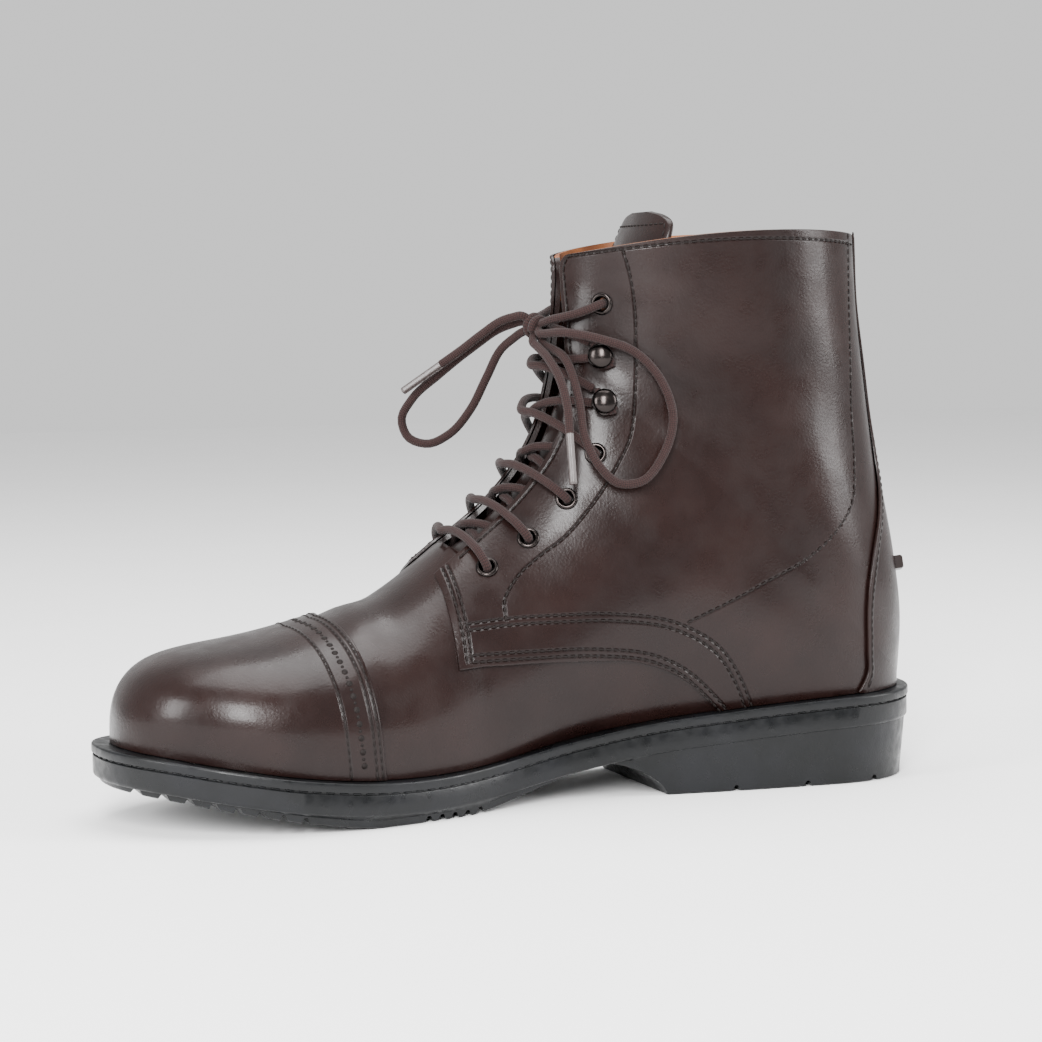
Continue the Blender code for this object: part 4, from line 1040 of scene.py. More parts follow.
@dataclass(frozen=True)
class Thread:
    """Waxed polyester sewing thread: dark brown, slightly shiny, twisted."""

    name: str = "waxed_thread"
    colour: str = "#060302"

    def make(self) -> bpy.types.Material:
        """Return the thread's material."""
        finish = Finish(self.name)
        cloud = finish.noise(0.5 * MM, 2.0)
        finish.bump(finish.math("MULTIPLY", cloud, 0.05 * MM))
        colour = finish.mixed(cloud, linear(self.colour), linear("#120907"))
        finish.set(Base_Color=colour, Roughness=0.7, IOR=1.5, Specular_IOR_Level=0.2)
        return finish.material


@dataclass(frozen=True)
class TipFilm:
    """Clear plastic film shrunk on the lace: grey, glossy, with lengthwise folds."""

    name: str = "shrunk_film"
    colour: str = "#4b4443"

    def make(self) -> bpy.types.Material:
        """Return the film's material."""
        finish = Finish(self.name)
        parts = finish.add("ShaderNodeSeparateXYZ", {0: finish.coordinates.outputs["UV"]})
        folds = finish.math("SINE", finish.math("MULTIPLY", parts.outputs[0], 2 * math.pi * 6))
        finish.bump(finish.math("MULTIPLY", folds, 0.06 * MM))
        cloud = finish.noise(2.0 * MM, 2.0)
        colour = finish.mixed(cloud, linear("#2a2220"), linear(self.colour))
        finish.set(Base_Color=colour, Roughness=0.28, IOR=1.5, Coat_Weight=0.2, Coat_Roughness=0.15)
        return finish.material


@dataclass(frozen=True)
class PaleFloor:
    """Matt white studio paper."""

    name: str = "studio_paper"

    def make(self) -> bpy.types.Material:
        """Return the floor's material."""
        finish = Finish(self.name)
        cloud = finish.noise(80 * MM, 2.0)
        finish.set(Base_Color=finish.mixed(cloud, linear("#f4f4f4"), linear("#f8f8f8")), Roughness=0.9)
        return finish.material


def piece(name: str, points: np.ndarray, faces: Sequence, materials: Sequence[bpy.types.Material],
          slots: Optional[np.ndarray] = None, sharp: float = 40.0) -> bpy.types.Object:
    """Make an object from points and faces.

    Args:
        name: The object's name.
        points: Its points in the boot's frame.
        faces: Corner numbers of each face.
        materials: Its materials.
        slots: The number of each face's material.
        sharp: The angle in degrees from which an edge stays sharp.

    Returns:
        The object, linked to the scene.
    """
    mesh = bpy.data.meshes.new(name)
    mesh.from_pydata([tuple(point) for point in points], [], faces)
    for material in materials:
        mesh.materials.append(material)
    if slots is not None:
        mesh.polygons.foreach_set("material_index", slots)
    mesh.shade_smooth()
    mesh.set_sharp_from_angle(angle=math.radians(sharp))
    made = bpy.data.objects.new(name, mesh)
    bpy.context.scene.collection.objects.link(made)
    return made


def settled(made: bpy.types.Object, slot: str, *nodes: str) -> bpy.types.Object:
    """Let a piece ride on the boot and stand for its nodes."""
    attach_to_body(made, ROOT)
    if nodes:
        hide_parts(*nodes)
    LOG.info("%s: %d faces", made.name, len(made.data.polygons))
    return made


def evaluated(made: bpy.types.Object) -> bpy.types.Object:
    """Replace an object's modifiers, or a curve, by the plain mesh that they make."""
    bpy.context.view_layer.update()
    graph = bpy.context.evaluated_depsgraph_get()
    mesh = bpy.data.meshes.new_from_object(made.evaluated_get(graph))
    name = made.name
    bpy.data.objects.remove(made, do_unlink=True)
    mesh.name = name
    result = bpy.data.objects.new(name, mesh)
    bpy.context.scene.collection.objects.link(result)
    return result


@dataclass
class Panel:
    """A wall of leather between two lifts of the last's skin."""

    last: Last
    name: str
    inner: float
    outer: float
    rows: int
    columns: int
    edge: float = 0.5 * MM

    def make(self, steps: Callable, low: Callable, high: Callable, free: tuple[bool, bool, bool, bool],
             materials: Sequence[bpy.types.Material]) -> bpy.types.Object:
        """Build the wall.

        Args:
            steps: Gives the steps for rows from 0 to 1 and shares.
            low: Gives the lower share for a row's steps and a side.
            high: Gives the upper share for a row's steps and a side.
            free: Whether the low, high, first and last edges are cut edges, which are rounded.
            materials: The outer skin's, the inner skin's and the rim's material.

        Returns:
            The wall as an object.
        """
        tight = np.array([0, 0.12, 0.35, 0.65, 1.0])
        rows = np.linspace(0, 1, self.rows)
        outside, inside, faces = [], [], []
        for side in SIDES:
            base = steps(rows, 1.0)
            reach = np.ones(self.columns + 1) * np.linspace(0, 1, self.columns + 1)
            lower, upper = low(base, side), high(base, side)
            arc = np.maximum(self.last.arc(base, side), 1e-6)
            shares = lower[:, None] + (upper - lower)[:, None] * reach[None]
            if free[0]:
                shares[:, :5] = lower[:, None] + tight[None] * self.edge / arc[:, None]
                shares[:, 4:] = np.linspace(shares[:, 4], upper, self.columns - 3, axis=1)
            if free[1]:
                first = 4 if free[0] else 0
                shares[:, -5:] = upper[:, None] - tight[None, ::-1] * self.edge / arc[:, None]
                spread = np.linspace(shares[:, first], shares[:, -5], self.columns - 3 - first, axis=1)
                shares[:, first:-4] = spread
            grid = steps(rows[:, None], shares)
            flat, _ = self.last.read(grid, shares, side)
            run = np.linalg.norm(np.diff(flat, axis=0), axis=2).cumsum(0)
            run = np.concatenate([np.zeros((1, flat.shape[1])), run])
            gaps = [(shares - lower[:, None]) * arc[:, None], (upper[:, None] - shares) * arc[:, None],
                    run, run[-1] - run]
            near = np.full(shares.shape, 1.0)
            for gap, cut in zip(gaps, free):
                if cut:
                    near = np.minimum(near, gap / self.edge)
            drop = self.edge * 0.9 * (1 - np.sqrt(1 - (1 - np.clip(near, 0, 1)) ** 2))
            outside.append(self.last.raised(grid, shares, side, self.outer - drop))
            inside.append(self.last.raised(grid, shares, side, np.full(shares.shape, self.inner)))
            size = shares.size
            start = 0 if side is Side.MEDIAL else size
            number = start + np.arange(size).reshape(shares.shape)
            corners = np.stack([number[:-1, :-1], number[:-1, 1:], number[1:, 1:], number[1:, :-1]],
                               axis=-1)
            corners = corners.reshape(-1, 4)
            faces.append(corners if side is Side.MEDIAL else corners[:, ::-1])
        out = np.concatenate([part.reshape(-1, 3) for part in outside])
        back = np.concatenate([part.reshape(-1, 3) for part in inside])
        return self._closed(out, back, np.concatenate(faces), materials)

    def _closed(self, out: np.ndarray, back: np.ndarray, faces: np.ndarray,
                materials: Sequence[bpy.types.Material]) -> bpy.types.Object:
        """Join the outer skin, the inner skin and the rims between them into one closed wall."""
        _, first, where = np.unique(np.round(out / 2e-6).astype(np.int64), axis=0,
                                    return_index=True, return_inverse=True)
        where = where.reshape(-1)
        out, back = out[first], back[first]
        count = len(out)
        skin, used = [], {}
        for face in where[faces]:
            corners = list(dict.fromkeys(face.tolist()))
            if len(corners) > 2:
                skin.append(corners)
                for a, b in zip(corners, corners[1:] + corners[:1]):
                    used[(a, b)] = True
        rim = [[b, a, a + count, b + count] for a, b in used if (b, a) not in used]
        inner = [[k + count for k in reversed(face)] for face in skin]
        slots = np.array([0] * len(skin) + [1] * len(inner) + [2] * len(rim), dtype=np.int32)
        return piece(self.name, np.concatenate([out, back]), skin + inner + rim, materials, slots, 50.0)


@dataclass
class Row:
    """A sewn row on the skin: points, outward normals and the direction across it."""

    seam: str
    points: np.ndarray
    normals: np.ndarray

    def across(self) -> np.ndarray:
        """Return the unit direction across the row at each point."""
        along = np.gradient(self.points, axis=0)
        across = np.cross(self.normals, along)
        return across / np.maximum(np.linalg.norm(across, axis=1), 1e-12)[:, None]

    def moved(self, distance: float, lift: float) -> np.ndarray:
        """Return the row's points moved across it and raised."""
        return self.points + self.across() * distance + self.normals * lift

    def measure(self, points: np.ndarray) -> np.ndarray:
        """Return the signed distance across the row, the distance to it and 1 for each point, in mm."""
        nearest = np.zeros(len(points), dtype=int)
        best = np.full(len(points), np.inf)
        for start in range(0, len(self.points), 64):
            part = self.points[start:start + 64]
            away = ((points[:, None] - part[None]) ** 2).sum(2)
            index = away.argmin(1)
            value = away[np.arange(len(points)), index]
            closer = value < best
            nearest[closer] = index[closer] + start
            best[closer] = value[closer]
        offset = points - self.points[nearest]
        signed = (offset * self.across()[nearest]).sum(1)
        return np.stack([signed / MM, np.sqrt(best) / MM, np.ones(len(points))], axis=1)


@dataclass
class Stitching:
    """The sewn rows of the boot and their threads."""

    last: Last
    cap: "ToeCap"
    pitch: float = 2.7 * MM
    length: float = 2.05 * MM
    thick: float = 0.74 * MM
    sunk: float = 0.05 * MM
    spacing: float = 0.8 * MM
    facing_inset: float = 2.6 * MM
    counter_inset: float = 2.0 * MM
    foot_gap: float = 3.4 * MM
    collar_row_step: float = 18.72
    front_shift: float = 0.02
    first_step: float = 0.9
    least_slope: float = 0.25
    cap_rear: float = 2.5 * MM
    cap_front: float = 12.4 * MM

    def __post_init__(self) -> None:
        """Lay out every row on both sides."""
        last, cap = self.last, self.cap
        self.rows = []
        lift = Layers.overlay
        for side in SIDES:
            self._drawn("band_top", BAND_TOP_ROWS, side, lift)
            self._drawn("band_foot", BAND_FOOT_ROWS, side, lift)
            self._drawn("shaft_seam", SHAFT_SEAM_ROWS, side, lift)
            arcs = [(step, float(last.arc(step, side)) / MM - arc) for step, arc in FACING_SEAM_ROWS]
            self._drawn("facing_seam", arcs, side, lift)
            steps = np.linspace(1.02, self.collar_row_step, 260)
            self._lay("facing_edge", steps, last.facing_edge(steps, side, self.facing_inset), side, lift)
            self._lay("quarter_front", *self._front_line(side), side, lift)
            steps = np.linspace(8.1, 19.0, 200)
            shares = last.counter_front(steps, side, self.counter_inset)
            self._lay("counter_row", steps, shares, side, Layers.strap)
        self._around("collar_row", lambda side, share: np.full(share.shape, self.collar_row_step),
                     True, lift)
        self._around("cap_rear", lambda side, share: cap.step(self.cap_rear, share), False, lift)
        self._around("cap_front", lambda side, share: cap.step(self.cap_front, share), False, lift)

    def _front_line(self, side: Side) -> tuple[np.ndarray, np.ndarray]:
        """Return the steps and shares of the row down the quarter's front edge."""
        step = Quarters.front + self.front_shift
        low = float(self.last.quarter_foot(step, side)) + self.foot_gap / self.last.arc(step, side)
        high = float(self.last.facing_edge(step, side, self.facing_inset))
        shares = np.linspace(high, low, 40)
        return np.full(40, step), shares

    def _drawn(self, seam: str, places: Sequence, side: Side, lift: float) -> None:
        """Lay a row that is a smooth line in the side view, through a step and an arc each."""
        steps = column(places, 0)
        points, _ = self.last.read(steps, column(places, 1) * MM / self.last.arc(steps, side), side)
        points[:, 0] = 0
        line = route(points, self.spacing)
        first = int(round(self.first_step / self.last.grid_step))
        grid = self.last.to_frame(self.last.skin[side])[first:]
        facing = self.last.normals[side][first:]
        found = np.zeros((len(line), 4))
        for row, point in enumerate(line):
            away = ((grid[:, :, 1:] - point[1:]) ** 2).sum(2)
            nearest = np.unravel_index(int(away.argmin()), away.shape)
            normal = np.array([facing[nearest][1], -facing[nearest][0], facing[nearest][2]])
            away = point[1:] - grid[nearest][1:]
            slant = (away @ normal[1:]) / normal[0] if abs(normal[0]) > self.least_slope else 0.0
            found[row] = (grid[nearest][0] - slant, *normal)
        window = np.ones(11) / 11
        padded = np.pad(found, ((5, 5), (0, 0)), "reflect", reflect_type="odd")
        found = np.stack([np.convolve(padded[:, k], window, "valid") for k in range(4)], axis=1)
        line[:, 0] = found[:, 0]
        normals = found[:, 1:] / np.linalg.norm(found[:, 1:], axis=1)[:, None]
        self._store(seam, line + normals * (lift - self.last.sunk(line))[:, None], normals)

    def _lay(self, seam: str, steps: Values, shares: Values, side: Side, lift: float) -> None:
        """Lay a row through steps and shares on one side."""
        _, normals = self.last.read(steps, shares, side)
        self._store(seam, self.last.raised(steps, shares, side, np.full(np.shape(shares), lift)), normals)

    def _around(self, seam: str, steps: Callable, open_front: bool, lift: float) -> None:
        """Lay a row across both sides, from the medial foot over the crest, or round the collar."""
        reach = np.linspace(0.02, 1.0, 90)
        points, normals = [], []
        for side, order in ((Side.MEDIAL, reach), (Side.LATERAL, reach[-2::-1])):
            place = steps(side, order)
            if open_front:
                top = self.last.facing_edge(place, side, 3.0 * MM)
                order = order[order <= top] if side is Side.MEDIAL else order[order <= top[0]]
                place = steps(side, order)
                keep = self.last.raised(place, order, side, np.full(order.shape, lift))
                _, normal = self.last.read(place, order, side)
                self._store(seam, keep, normal)
                continue
            points.append(self.last.raised(place, order, side, np.full(order.shape, lift)))
            normals.append(self.last.read(place, order, side)[1])
        if points:
            self._store(seam, np.concatenate(points), np.concatenate(normals))

    def _store(self, seam: str, points: np.ndarray, normals: np.ndarray) -> None:
        """Keep a row at an even spacing."""
        along = lengths_along(points)
        at = np.linspace(0, along[-1], max(int(along[-1] / self.spacing), 4))
        facing = between(at, along, normals)
        facing /= np.linalg.norm(facing, axis=1)[:, None]
        self.rows.append(Row(seam, between(at, along, points), facing))

    def mark(self, made: bpy.types.Object, seams: Sequence[str]) -> None:
        """Write each seam's distances to a panel's points, for its leather to read."""
        mesh = made.data
        points = np.zeros(len(mesh.vertices) * 3, dtype=np.float32)
        mesh.vertices.foreach_get("co", points)
        points = points.reshape(-1, 3).astype(float)
        for seam in seams:
            best = np.tile([99.0, 99.0, 1.0], (len(points), 1))
            for row in self.rows:
                if row.seam == seam:
                    found = row.measure(points)
                    closer = found[:, 1] < best[:, 1]
                    best[closer] = found[closer]
            layer = mesh.attributes.new(seam, "FLOAT_VECTOR", "POINT")
            layer.data.foreach_set("vector", best.astype(np.float32).reshape(-1))

    def threads(self, thread: bpy.types.Material) -> bpy.types.Object:
        """Make the threads of all rows with one tree that repeats a stitch along curves."""
        gaps = {seam.name: seam.half_gap * MM for seam in SEAMS}
        lines = []
        for row in self.rows:
            gap = gaps[row.seam]
            for distance in ((-gap, gap) if gap else (0.0,)):
                lines.append(row.moved(distance, -self.sunk))
        made = lines_object("stitches", lines)
        sizes = {"Pitch": self.pitch, "Length": self.length, "Thickness": self.thick}
        repeat_along(made, thread, sizes)
        return settled(evaluated(made), "leather")


def tree_with(name: str, sizes: dict[str, float]) -> bpy.types.NodeTree:
    """Make a geometry tree with named sizes as its inputs."""
    tree = bpy.data.node_groups.new(name, "GeometryNodeTree")
    tree.interface.new_socket("Geometry", in_out="INPUT", socket_type="NodeSocketGeometry")
    for size, value in sizes.items():
        socket = tree.interface.new_socket(size, in_out="INPUT", socket_type="NodeSocketFloat")
        socket.default_value = value
    tree.interface.new_socket("Geometry", in_out="OUTPUT", socket_type="NodeSocketGeometry")
    return tree


def attach(made: bpy.types.Object, tree: bpy.types.NodeTree, sizes: dict[str, float]) -> None:
    """Give an object a modifier that runs a tree, with its sizes."""
    modifier = made.modifiers.new(tree.name, "NODES")
    modifier.node_group = tree
    for socket in tree.interface.items_tree:
        if socket.in_out == "INPUT" and socket.name in sizes:
            modifier[socket.identifier] = sizes[socket.name]


def finish_tree(tree: bpy.types.NodeTree, geometry: bpy.types.NodeSocket,
                material: bpy.types.Material) -> None:
    """End a tree: instances made real, shaded smooth and given a material."""
    real = add_node(tree, "GeometryNodeRealizeInstances", {"Geometry": geometry})
    soft = add_node(tree, "GeometryNodeSetShadeSmooth", {"Geometry": real.outputs[0]})
    dressed = add_node(tree, "GeometryNodeSetMaterial", {"Geometry": soft.outputs[0], "Material": material})
    add_node(tree, "NodeGroupOutput", {"Geometry": dressed.outputs[0]})


def repeat_along(made: bpy.types.Object, material: bpy.types.Material, sizes: dict[str, float]) -> None:
    """Repeat a small rounded bar along an object's curves.

    Args:
        made: The curve object.
        material: The bars' material.
        sizes: The bars' pitch, length and thickness.
    """
    tree = tree_with("bars_along_curves", sizes)
    source = add_node(tree, "NodeGroupInput")
    points = add_node(tree, "GeometryNodeCurveToPoints",
                      {"Curve": source.outputs["Geometry"], "Length": source.outputs["Pitch"]},
                      mode="LENGTH")
    turn = add_node(tree, "FunctionNodeAlignRotationToVector", {"Vector": points.outputs["Tangent"]},
                    axis="Z")
    bar = add_node(tree, "GeometryNodeMeshUVSphere", {"Segments": 8, "Rings": 6, "Radius": 0.5})
    size = add_node(tree, "ShaderNodeCombineXYZ", {
        "X": source.outputs["Thickness"], "Y": source.outputs["Thickness"], "Z": source.outputs["Length"]})
    placed = add_node(tree, "GeometryNodeInstanceOnPoints", {
        "Points": points.outputs["Points"], "Instance": bar.outputs["Mesh"],
        "Rotation": turn.outputs[0], "Scale": size.outputs[0]})
    finish_tree(tree, placed.outputs[0], material)
    attach(made, tree, sizes)


def lines_object(name: str, lines: Sequence[np.ndarray], closed: bool = False) -> bpy.types.Object:
    """Make a curve object.

    Args:
        name: The object's name.
        lines: The points of each of its lines.
        closed: Whether the lines end where they start.

    Returns:
        The object, linked to the scene.
    """
    curve = bpy.data.curves.new(name, "CURVE")
    curve.dimensions = "3D"
    for points in lines:
        spline = curve.splines.new("POLY")
        spline.points.add(len(points) - 1)
        places = np.concatenate([points, np.ones((len(points), 1))], axis=1)
        spline.points.foreach_set("co", places.astype(np.float32).reshape(-1))
        spline.use_cyclic_u = closed
    made = bpy.data.objects.new(name, curve)
    bpy.context.scene.collection.objects.link(made)
    return made


def ring_points(name: str, points: np.ndarray, axes: np.ndarray) -> bpy.types.Object:
    """Make an object of loose points that carry their outward directions."""
    mesh = bpy.data.meshes.new(name)
    mesh.from_pydata([tuple(point) for point in points], [], [])
    layer = mesh.attributes.new("facing", "FLOAT_VECTOR", "POINT")
    layer.data.foreach_set("vector", np.asarray(axes, np.float32).reshape(-1))
    made = bpy.data.objects.new(name, mesh)
    bpy.context.scene.collection.objects.link(made)
    return made


def outward(tree: bpy.types.NodeTree) -> bpy.types.Node:
    """Add the nodes that turn an instance's Z to its point's outward direction; return the last."""
    facing = add_node(tree, "GeometryNodeInputNamedAttribute", {"Name": "facing"},
                      data_type="FLOAT_VECTOR")
    return add_node(tree, "FunctionNodeAlignRotationToVector", {"Vector": facing.outputs[0]}, axis="Z")


@dataclass(frozen=True)
class Layers:
    """Lifts of the leather layers above the skin."""

    upper_wall: float = 1.7 * MM
    overlay_foot: float = 0.4 * MM
    overlay: float = 1.5 * MM
    strap_foot: float = 2.1 * MM
    strap: float = 3.0 * MM


@dataclass
class Upper:
    """The hollow upper: one wall with a tan lining, and dark leather inside the facings."""

    last: Last
    facing_lining: float = 22 * MM
    facing_top: float = 168 * MM

    def make(self, leather: bpy.types.Material, lining: bpy.types.Material) -> bpy.types.Object:
        """Build the upper."""
        def steps(rows: Values, shares: Values) -> Values:
            return self._spread(rows) + 0 * shares

        def high(step: Values, side: Side) -> Values:
            edge = self.last.facing_edge(step, side, 0.5 * MM)
            return np.where(step <= self.last.throat_step, 1.0, edge)

        panel = Panel(self.last, "upper_shell", -Layers.upper_wall, 0.0, 190, 62, 0.4 * MM)
        made = panel.make(steps, lambda step, side: np.zeros(step.shape), high,
                          (False, False, False, True), (leather, lining, leather))
        top = self.last.collar_height - self.last.collar_drop - 1.5 * MM
        front = self.last.to_frame(np.insert(self.last.crests[50::4], 1, 0, axis=1))[:, 1:]
        for face in made.data.polygons:
            if face.material_index == 2 and face.center.z > top and abs(face.normal.z) > 0.8:
                face.material_index = 1
            elif face.material_index == 1 and face.center.z < self.facing_top:
                away = np.hypot(*(front - np.array(face.center[1:])).T).min()
                face.material_index = 2 if away < self.facing_lining else 1
        return made

    def _spread(self, rows: Values) -> Values:
        """Return steps for rows from 0 to 1, closer over the vamp, with one row at the throat."""
        break_row = 0.32
        front = rows / break_row
        rear = 1 + (rows - break_row) / (1 - break_row) * (self.last.collar_step - 1)
        return np.where(rows < break_row, front, rear)


@dataclass
class Quarters:
    """The quarters: both sides joined at the back seam, open down the front."""

    last: Last
    front: float = 0.95

    def make(self, leather: bpy.types.Material, edge: bpy.types.Material) -> bpy.types.Object:
        """Build the quarters."""
        def steps(rows: Values, shares: Values) -> Values:
            return self.front + (self.last.collar_step - self.front) * self._close(rows) + 0 * shares

        panel = Panel(self.last, "quarter_panels", Layers.overlay_foot, Layers.overlay, 210, 66, 0.55 * MM)
        return panel.make(steps, self.last.quarter_foot, self.last.facing_edge,
                          (True, True, True, True), (leather, edge, leather))

    def _close(self, rows: Values) -> Values:
        """Return rows that stand closer together at the front edge and the collar."""
        close = 0.85
        return rows - close * np.sin(2 * math.pi * rows) / (2 * math.pi)


@dataclass
class ToeCap:
    """The toe cap, whose rear edge leans back towards the sole."""

    last: Last
    crest: float = 0.748
    foot: float = 0.716
    holes_ahead: float = 7.6 * MM
    hole_pitch: float = 4.6 * MM
    large_hole: float = 1.05 * MM
    small_hole: float = 0.55 * MM
    hole_depth: float = 0.12 * MM

    def step(self, ahead: Values, share: Values) -> Values:
        """Return the step at a distance ahead of the cap's rear edge."""
        along = self.foot + (self.crest - self.foot) * share + ahead / self.last.last_length
        return self.last.step_at(along)

    def make(self, leather: bpy.types.Material) -> bpy.types.Object:
        """Build the toe cap."""
        def steps(rows: Values, shares: Values) -> Values:
            return (1 - (1 - rows) ** 1.25) * self.step(0.0, shares)

        panel = Panel(self.last, "cap_panel", Layers.overlay_foot, Layers.overlay, 110, 76, 0.55 * MM)
        whole = (lambda step, side: np.zeros(step.shape), lambda step, side: np.ones(step.shape))
        return panel.make(steps, *whole, (False, False, False, True), (leather, leather, leather))

    def holes(self, dark: bpy.types.Material) -> bpy.types.Object:
        """Make the holes as thin near-black discs laid on the cap, painted shade in place of pierced holes:
        a line of large ones with a small one between each pair.
        """
        shares = np.linspace(0.03, 1.0, 400)
        points, axes = [], []
        for side, order in ((Side.MEDIAL, shares), (Side.LATERAL, shares[-2::-1])):
            step = self.step(self.holes_ahead, order)
            _, normal = self.last.read(step, order, side)
            lift = np.full(order.shape, Layers.overlay + 0.02 * MM)
            points.append(self.last.raised(step, order, side, lift))
            axes.append(normal)
        points, axes = np.concatenate(points), np.concatenate(axes)
        along = lengths_along(points)
        made = []
        pitch = self.hole_pitch
        for name, first, radius in (("large_hole_shade_discs", 0.0, self.large_hole),
                                    ("small_hole_shade_discs", 0.5, self.small_hole)):
            at = np.arange(pitch * (0.6 + first), along[-1], pitch)
            holes = ring_points(name, *(between(at, along, part) for part in (points, axes)))
            sizes = {"Radius": radius}
            tree = tree_with(name + "_tree", sizes)
            source = add_node(tree, "NodeGroupInput")
            turn = outward(tree)
            # Painted shade: each hole is a thin dark disc laid on the cap surface, not a cut.
            disc = add_node(tree, "GeometryNodeMeshCylinder", {
                "Vertices": 14, "Radius": source.outputs["Radius"], "Depth": self.hole_depth})
            placed = add_node(tree, "GeometryNodeInstanceOnPoints", {
                "Points": source.outputs["Geometry"], "Instance": disc.outputs["Mesh"],
                "Rotation": turn.outputs[0]})
            finish_tree(tree, placed.outputs[0], dark)
            attach(holes, tree, sizes)
            made.append(settled(evaluated(holes), "leather"))
        return made[0]


@dataclass
class Counter:
    """The counter and back strap, with the spur rest on it."""

    last: Last
    first_step: float = 7.7
    spur_step: float = 12.75
    spur_steps: float = 0.227
    spur_reach: float = 12.0 * MM
    spur_lift: float = 6.0 * MM

    def make(self, leather: bpy.types.Material) -> bpy.types.Object:
        """Build the counter and its strap."""
        def steps(rows: Values, shares: Values) -> Values:
            return self.first_step + (self.last.collar_step - self.first_step) * rows + 0 * shares

        panel = Panel(self.last, "counter_panel", Layers.strap_foot, Layers.strap, 150, 34, 0.5 * MM)
        return panel.make(steps, lambda step, side: np.zeros(step.shape), self.last.counter_front,
                          (False, True, True, True), (leather, leather, leather))

    def spur_rest(self, leather: bpy.types.Material) -> bpy.types.Object:
        """Build the small ledge that a spur rests on."""
        def steps(rows: Values, shares: Values) -> Values:
            return self.spur_step + self.spur_steps * rows + 0 * shares

        def high(step: Values, side: Side) -> Values:
            return self.spur_reach / self.last.arc(step, side)

        panel = Panel(self.last, "spur_ledge", Layers.strap + 0.05 * MM, self.spur_lift, 12, 20, 0.8 * MM)
        made = panel.make(steps, lambda step, side: np.zeros(step.shape), high,
                          (False, True, True, True), (leather, leather, leather))
        return settled(made, "leather", "spur_rest")


@dataclass
class Tongue:
    """The tongue: a rounded flap behind the facings that rises above the collar."""

    last: Last
    wall: float = 2.2 * MM
    columns: int = 40
    rows: int = 150

    def grid(self) -> tuple[np.ndarray, np.ndarray]:
        """Return the outer and the inner points of the flap, row by row."""
        rows = np.arange(len(TONGUE_ROWS))
        at = np.linspace(0, len(TONGUE_ROWS) - 1, self.rows)
        table = [smooth(rows, column(TONGUE_ROWS, k), at) for k in range(5)]
        outer, inner = [], []
        for step, rise, depth, curve, half in zip(*table):
            part = self.last.section(min(step, self.last.collar_step))
            crest = part[2:4]
            back = part[0:2] - crest
            span = np.hypot(*back)
            back = back / span
            up = np.array([-0.12, 0.993])
            reach = half * np.sin(np.linspace(-math.pi / 2, math.pi / 2, self.columns + 1))
            widest = np.where(reach > 0, part[4], part[5])
            drop = 1 - (1 - (np.abs(reach) / widest) ** part[10]) ** (1 / part[10])
            drop = drop * (1 - part[8]) * span
            edge = np.clip((half - np.abs(reach)) / (0.8 * MM), 0, 1)
            thin = self.wall * 0.42 * (1 - np.sqrt(1 - (1 - edge) ** 2))
            for wall, points in ((thin, outer), (self.wall - thin, inner)):
                push = Layers.upper_wall + depth + wall + curve * drop
                place = crest[0] + back[0] * push + up[0] * max(rise, 0)
                height = crest[1] + back[1] * push + up[1] * max(rise, 0)
                points.append(np.stack([place, part[11] + reach, height], axis=1))
        return self.last.to_frame(np.array(outer)), self.last.to_frame(np.array(inner))

    def make(self, leather: bpy.types.Material) -> bpy.types.Object:
        """Build the tongue."""
        outer, inner = self.grid()
        size = outer.shape[0] * outer.shape[1]
        number = np.arange(size).reshape(outer.shape[:2])
        corners = np.stack([number[:-1, :-1], number[:-1, 1:], number[1:, 1:], number[1:, :-1]], axis=-1)
        faces = [list(face) for face in corners.reshape(-1, 4)]
        border = list(number[0]) + list(number[1:, -1])
        border += list(number[-1, -2::-1]) + list(number[-2:0:-1, 0])
        closed = faces + [[k + size for k in reversed(face)] for face in faces]
        for a, b in zip(border, border[1:] + border[:1]):
            closed.append([b, a, a + size, b + size])
        made = piece("tongue_flap", np.concatenate([outer.reshape(-1, 3), inner.reshape(-1, 3)]), closed,
                     (leather,), None, 60.0)
        build = bmesh.new()
        build.from_mesh(made.data)
        bmesh.ops.recalc_face_normals(build, faces=build.faces)
        build.to_mesh(made.data)
        build.free()
        return settled(made, "leather", "tongue")

    def seam(self, thread: bpy.types.Material) -> bpy.types.Object:
        """Sew a row along the top edge of the flap."""
        outer, _ = self.grid()
        inset = 5
        top = int(self.rows * (len(TONGUE_ROWS) - 3.2) / (len(TONGUE_ROWS) - 1))
        low = int(self.rows * 0.62)
        line = [outer[row, inset] for row in range(low, top, 3)]
        line += [outer[top, k] for k in range(inset, self.columns - inset + 1)]
        line += [outer[row, self.columns - inset] for row in range(top, low, -3)]
        made = lines_object("tongue_stitches", [np.array(line)])
        repeat_along(made, thread, {"Pitch": Stitching.pitch, "Length": Stitching.length,
                                    "Thickness": Stitching.thick})
        return settled(evaluated(made), "leather")


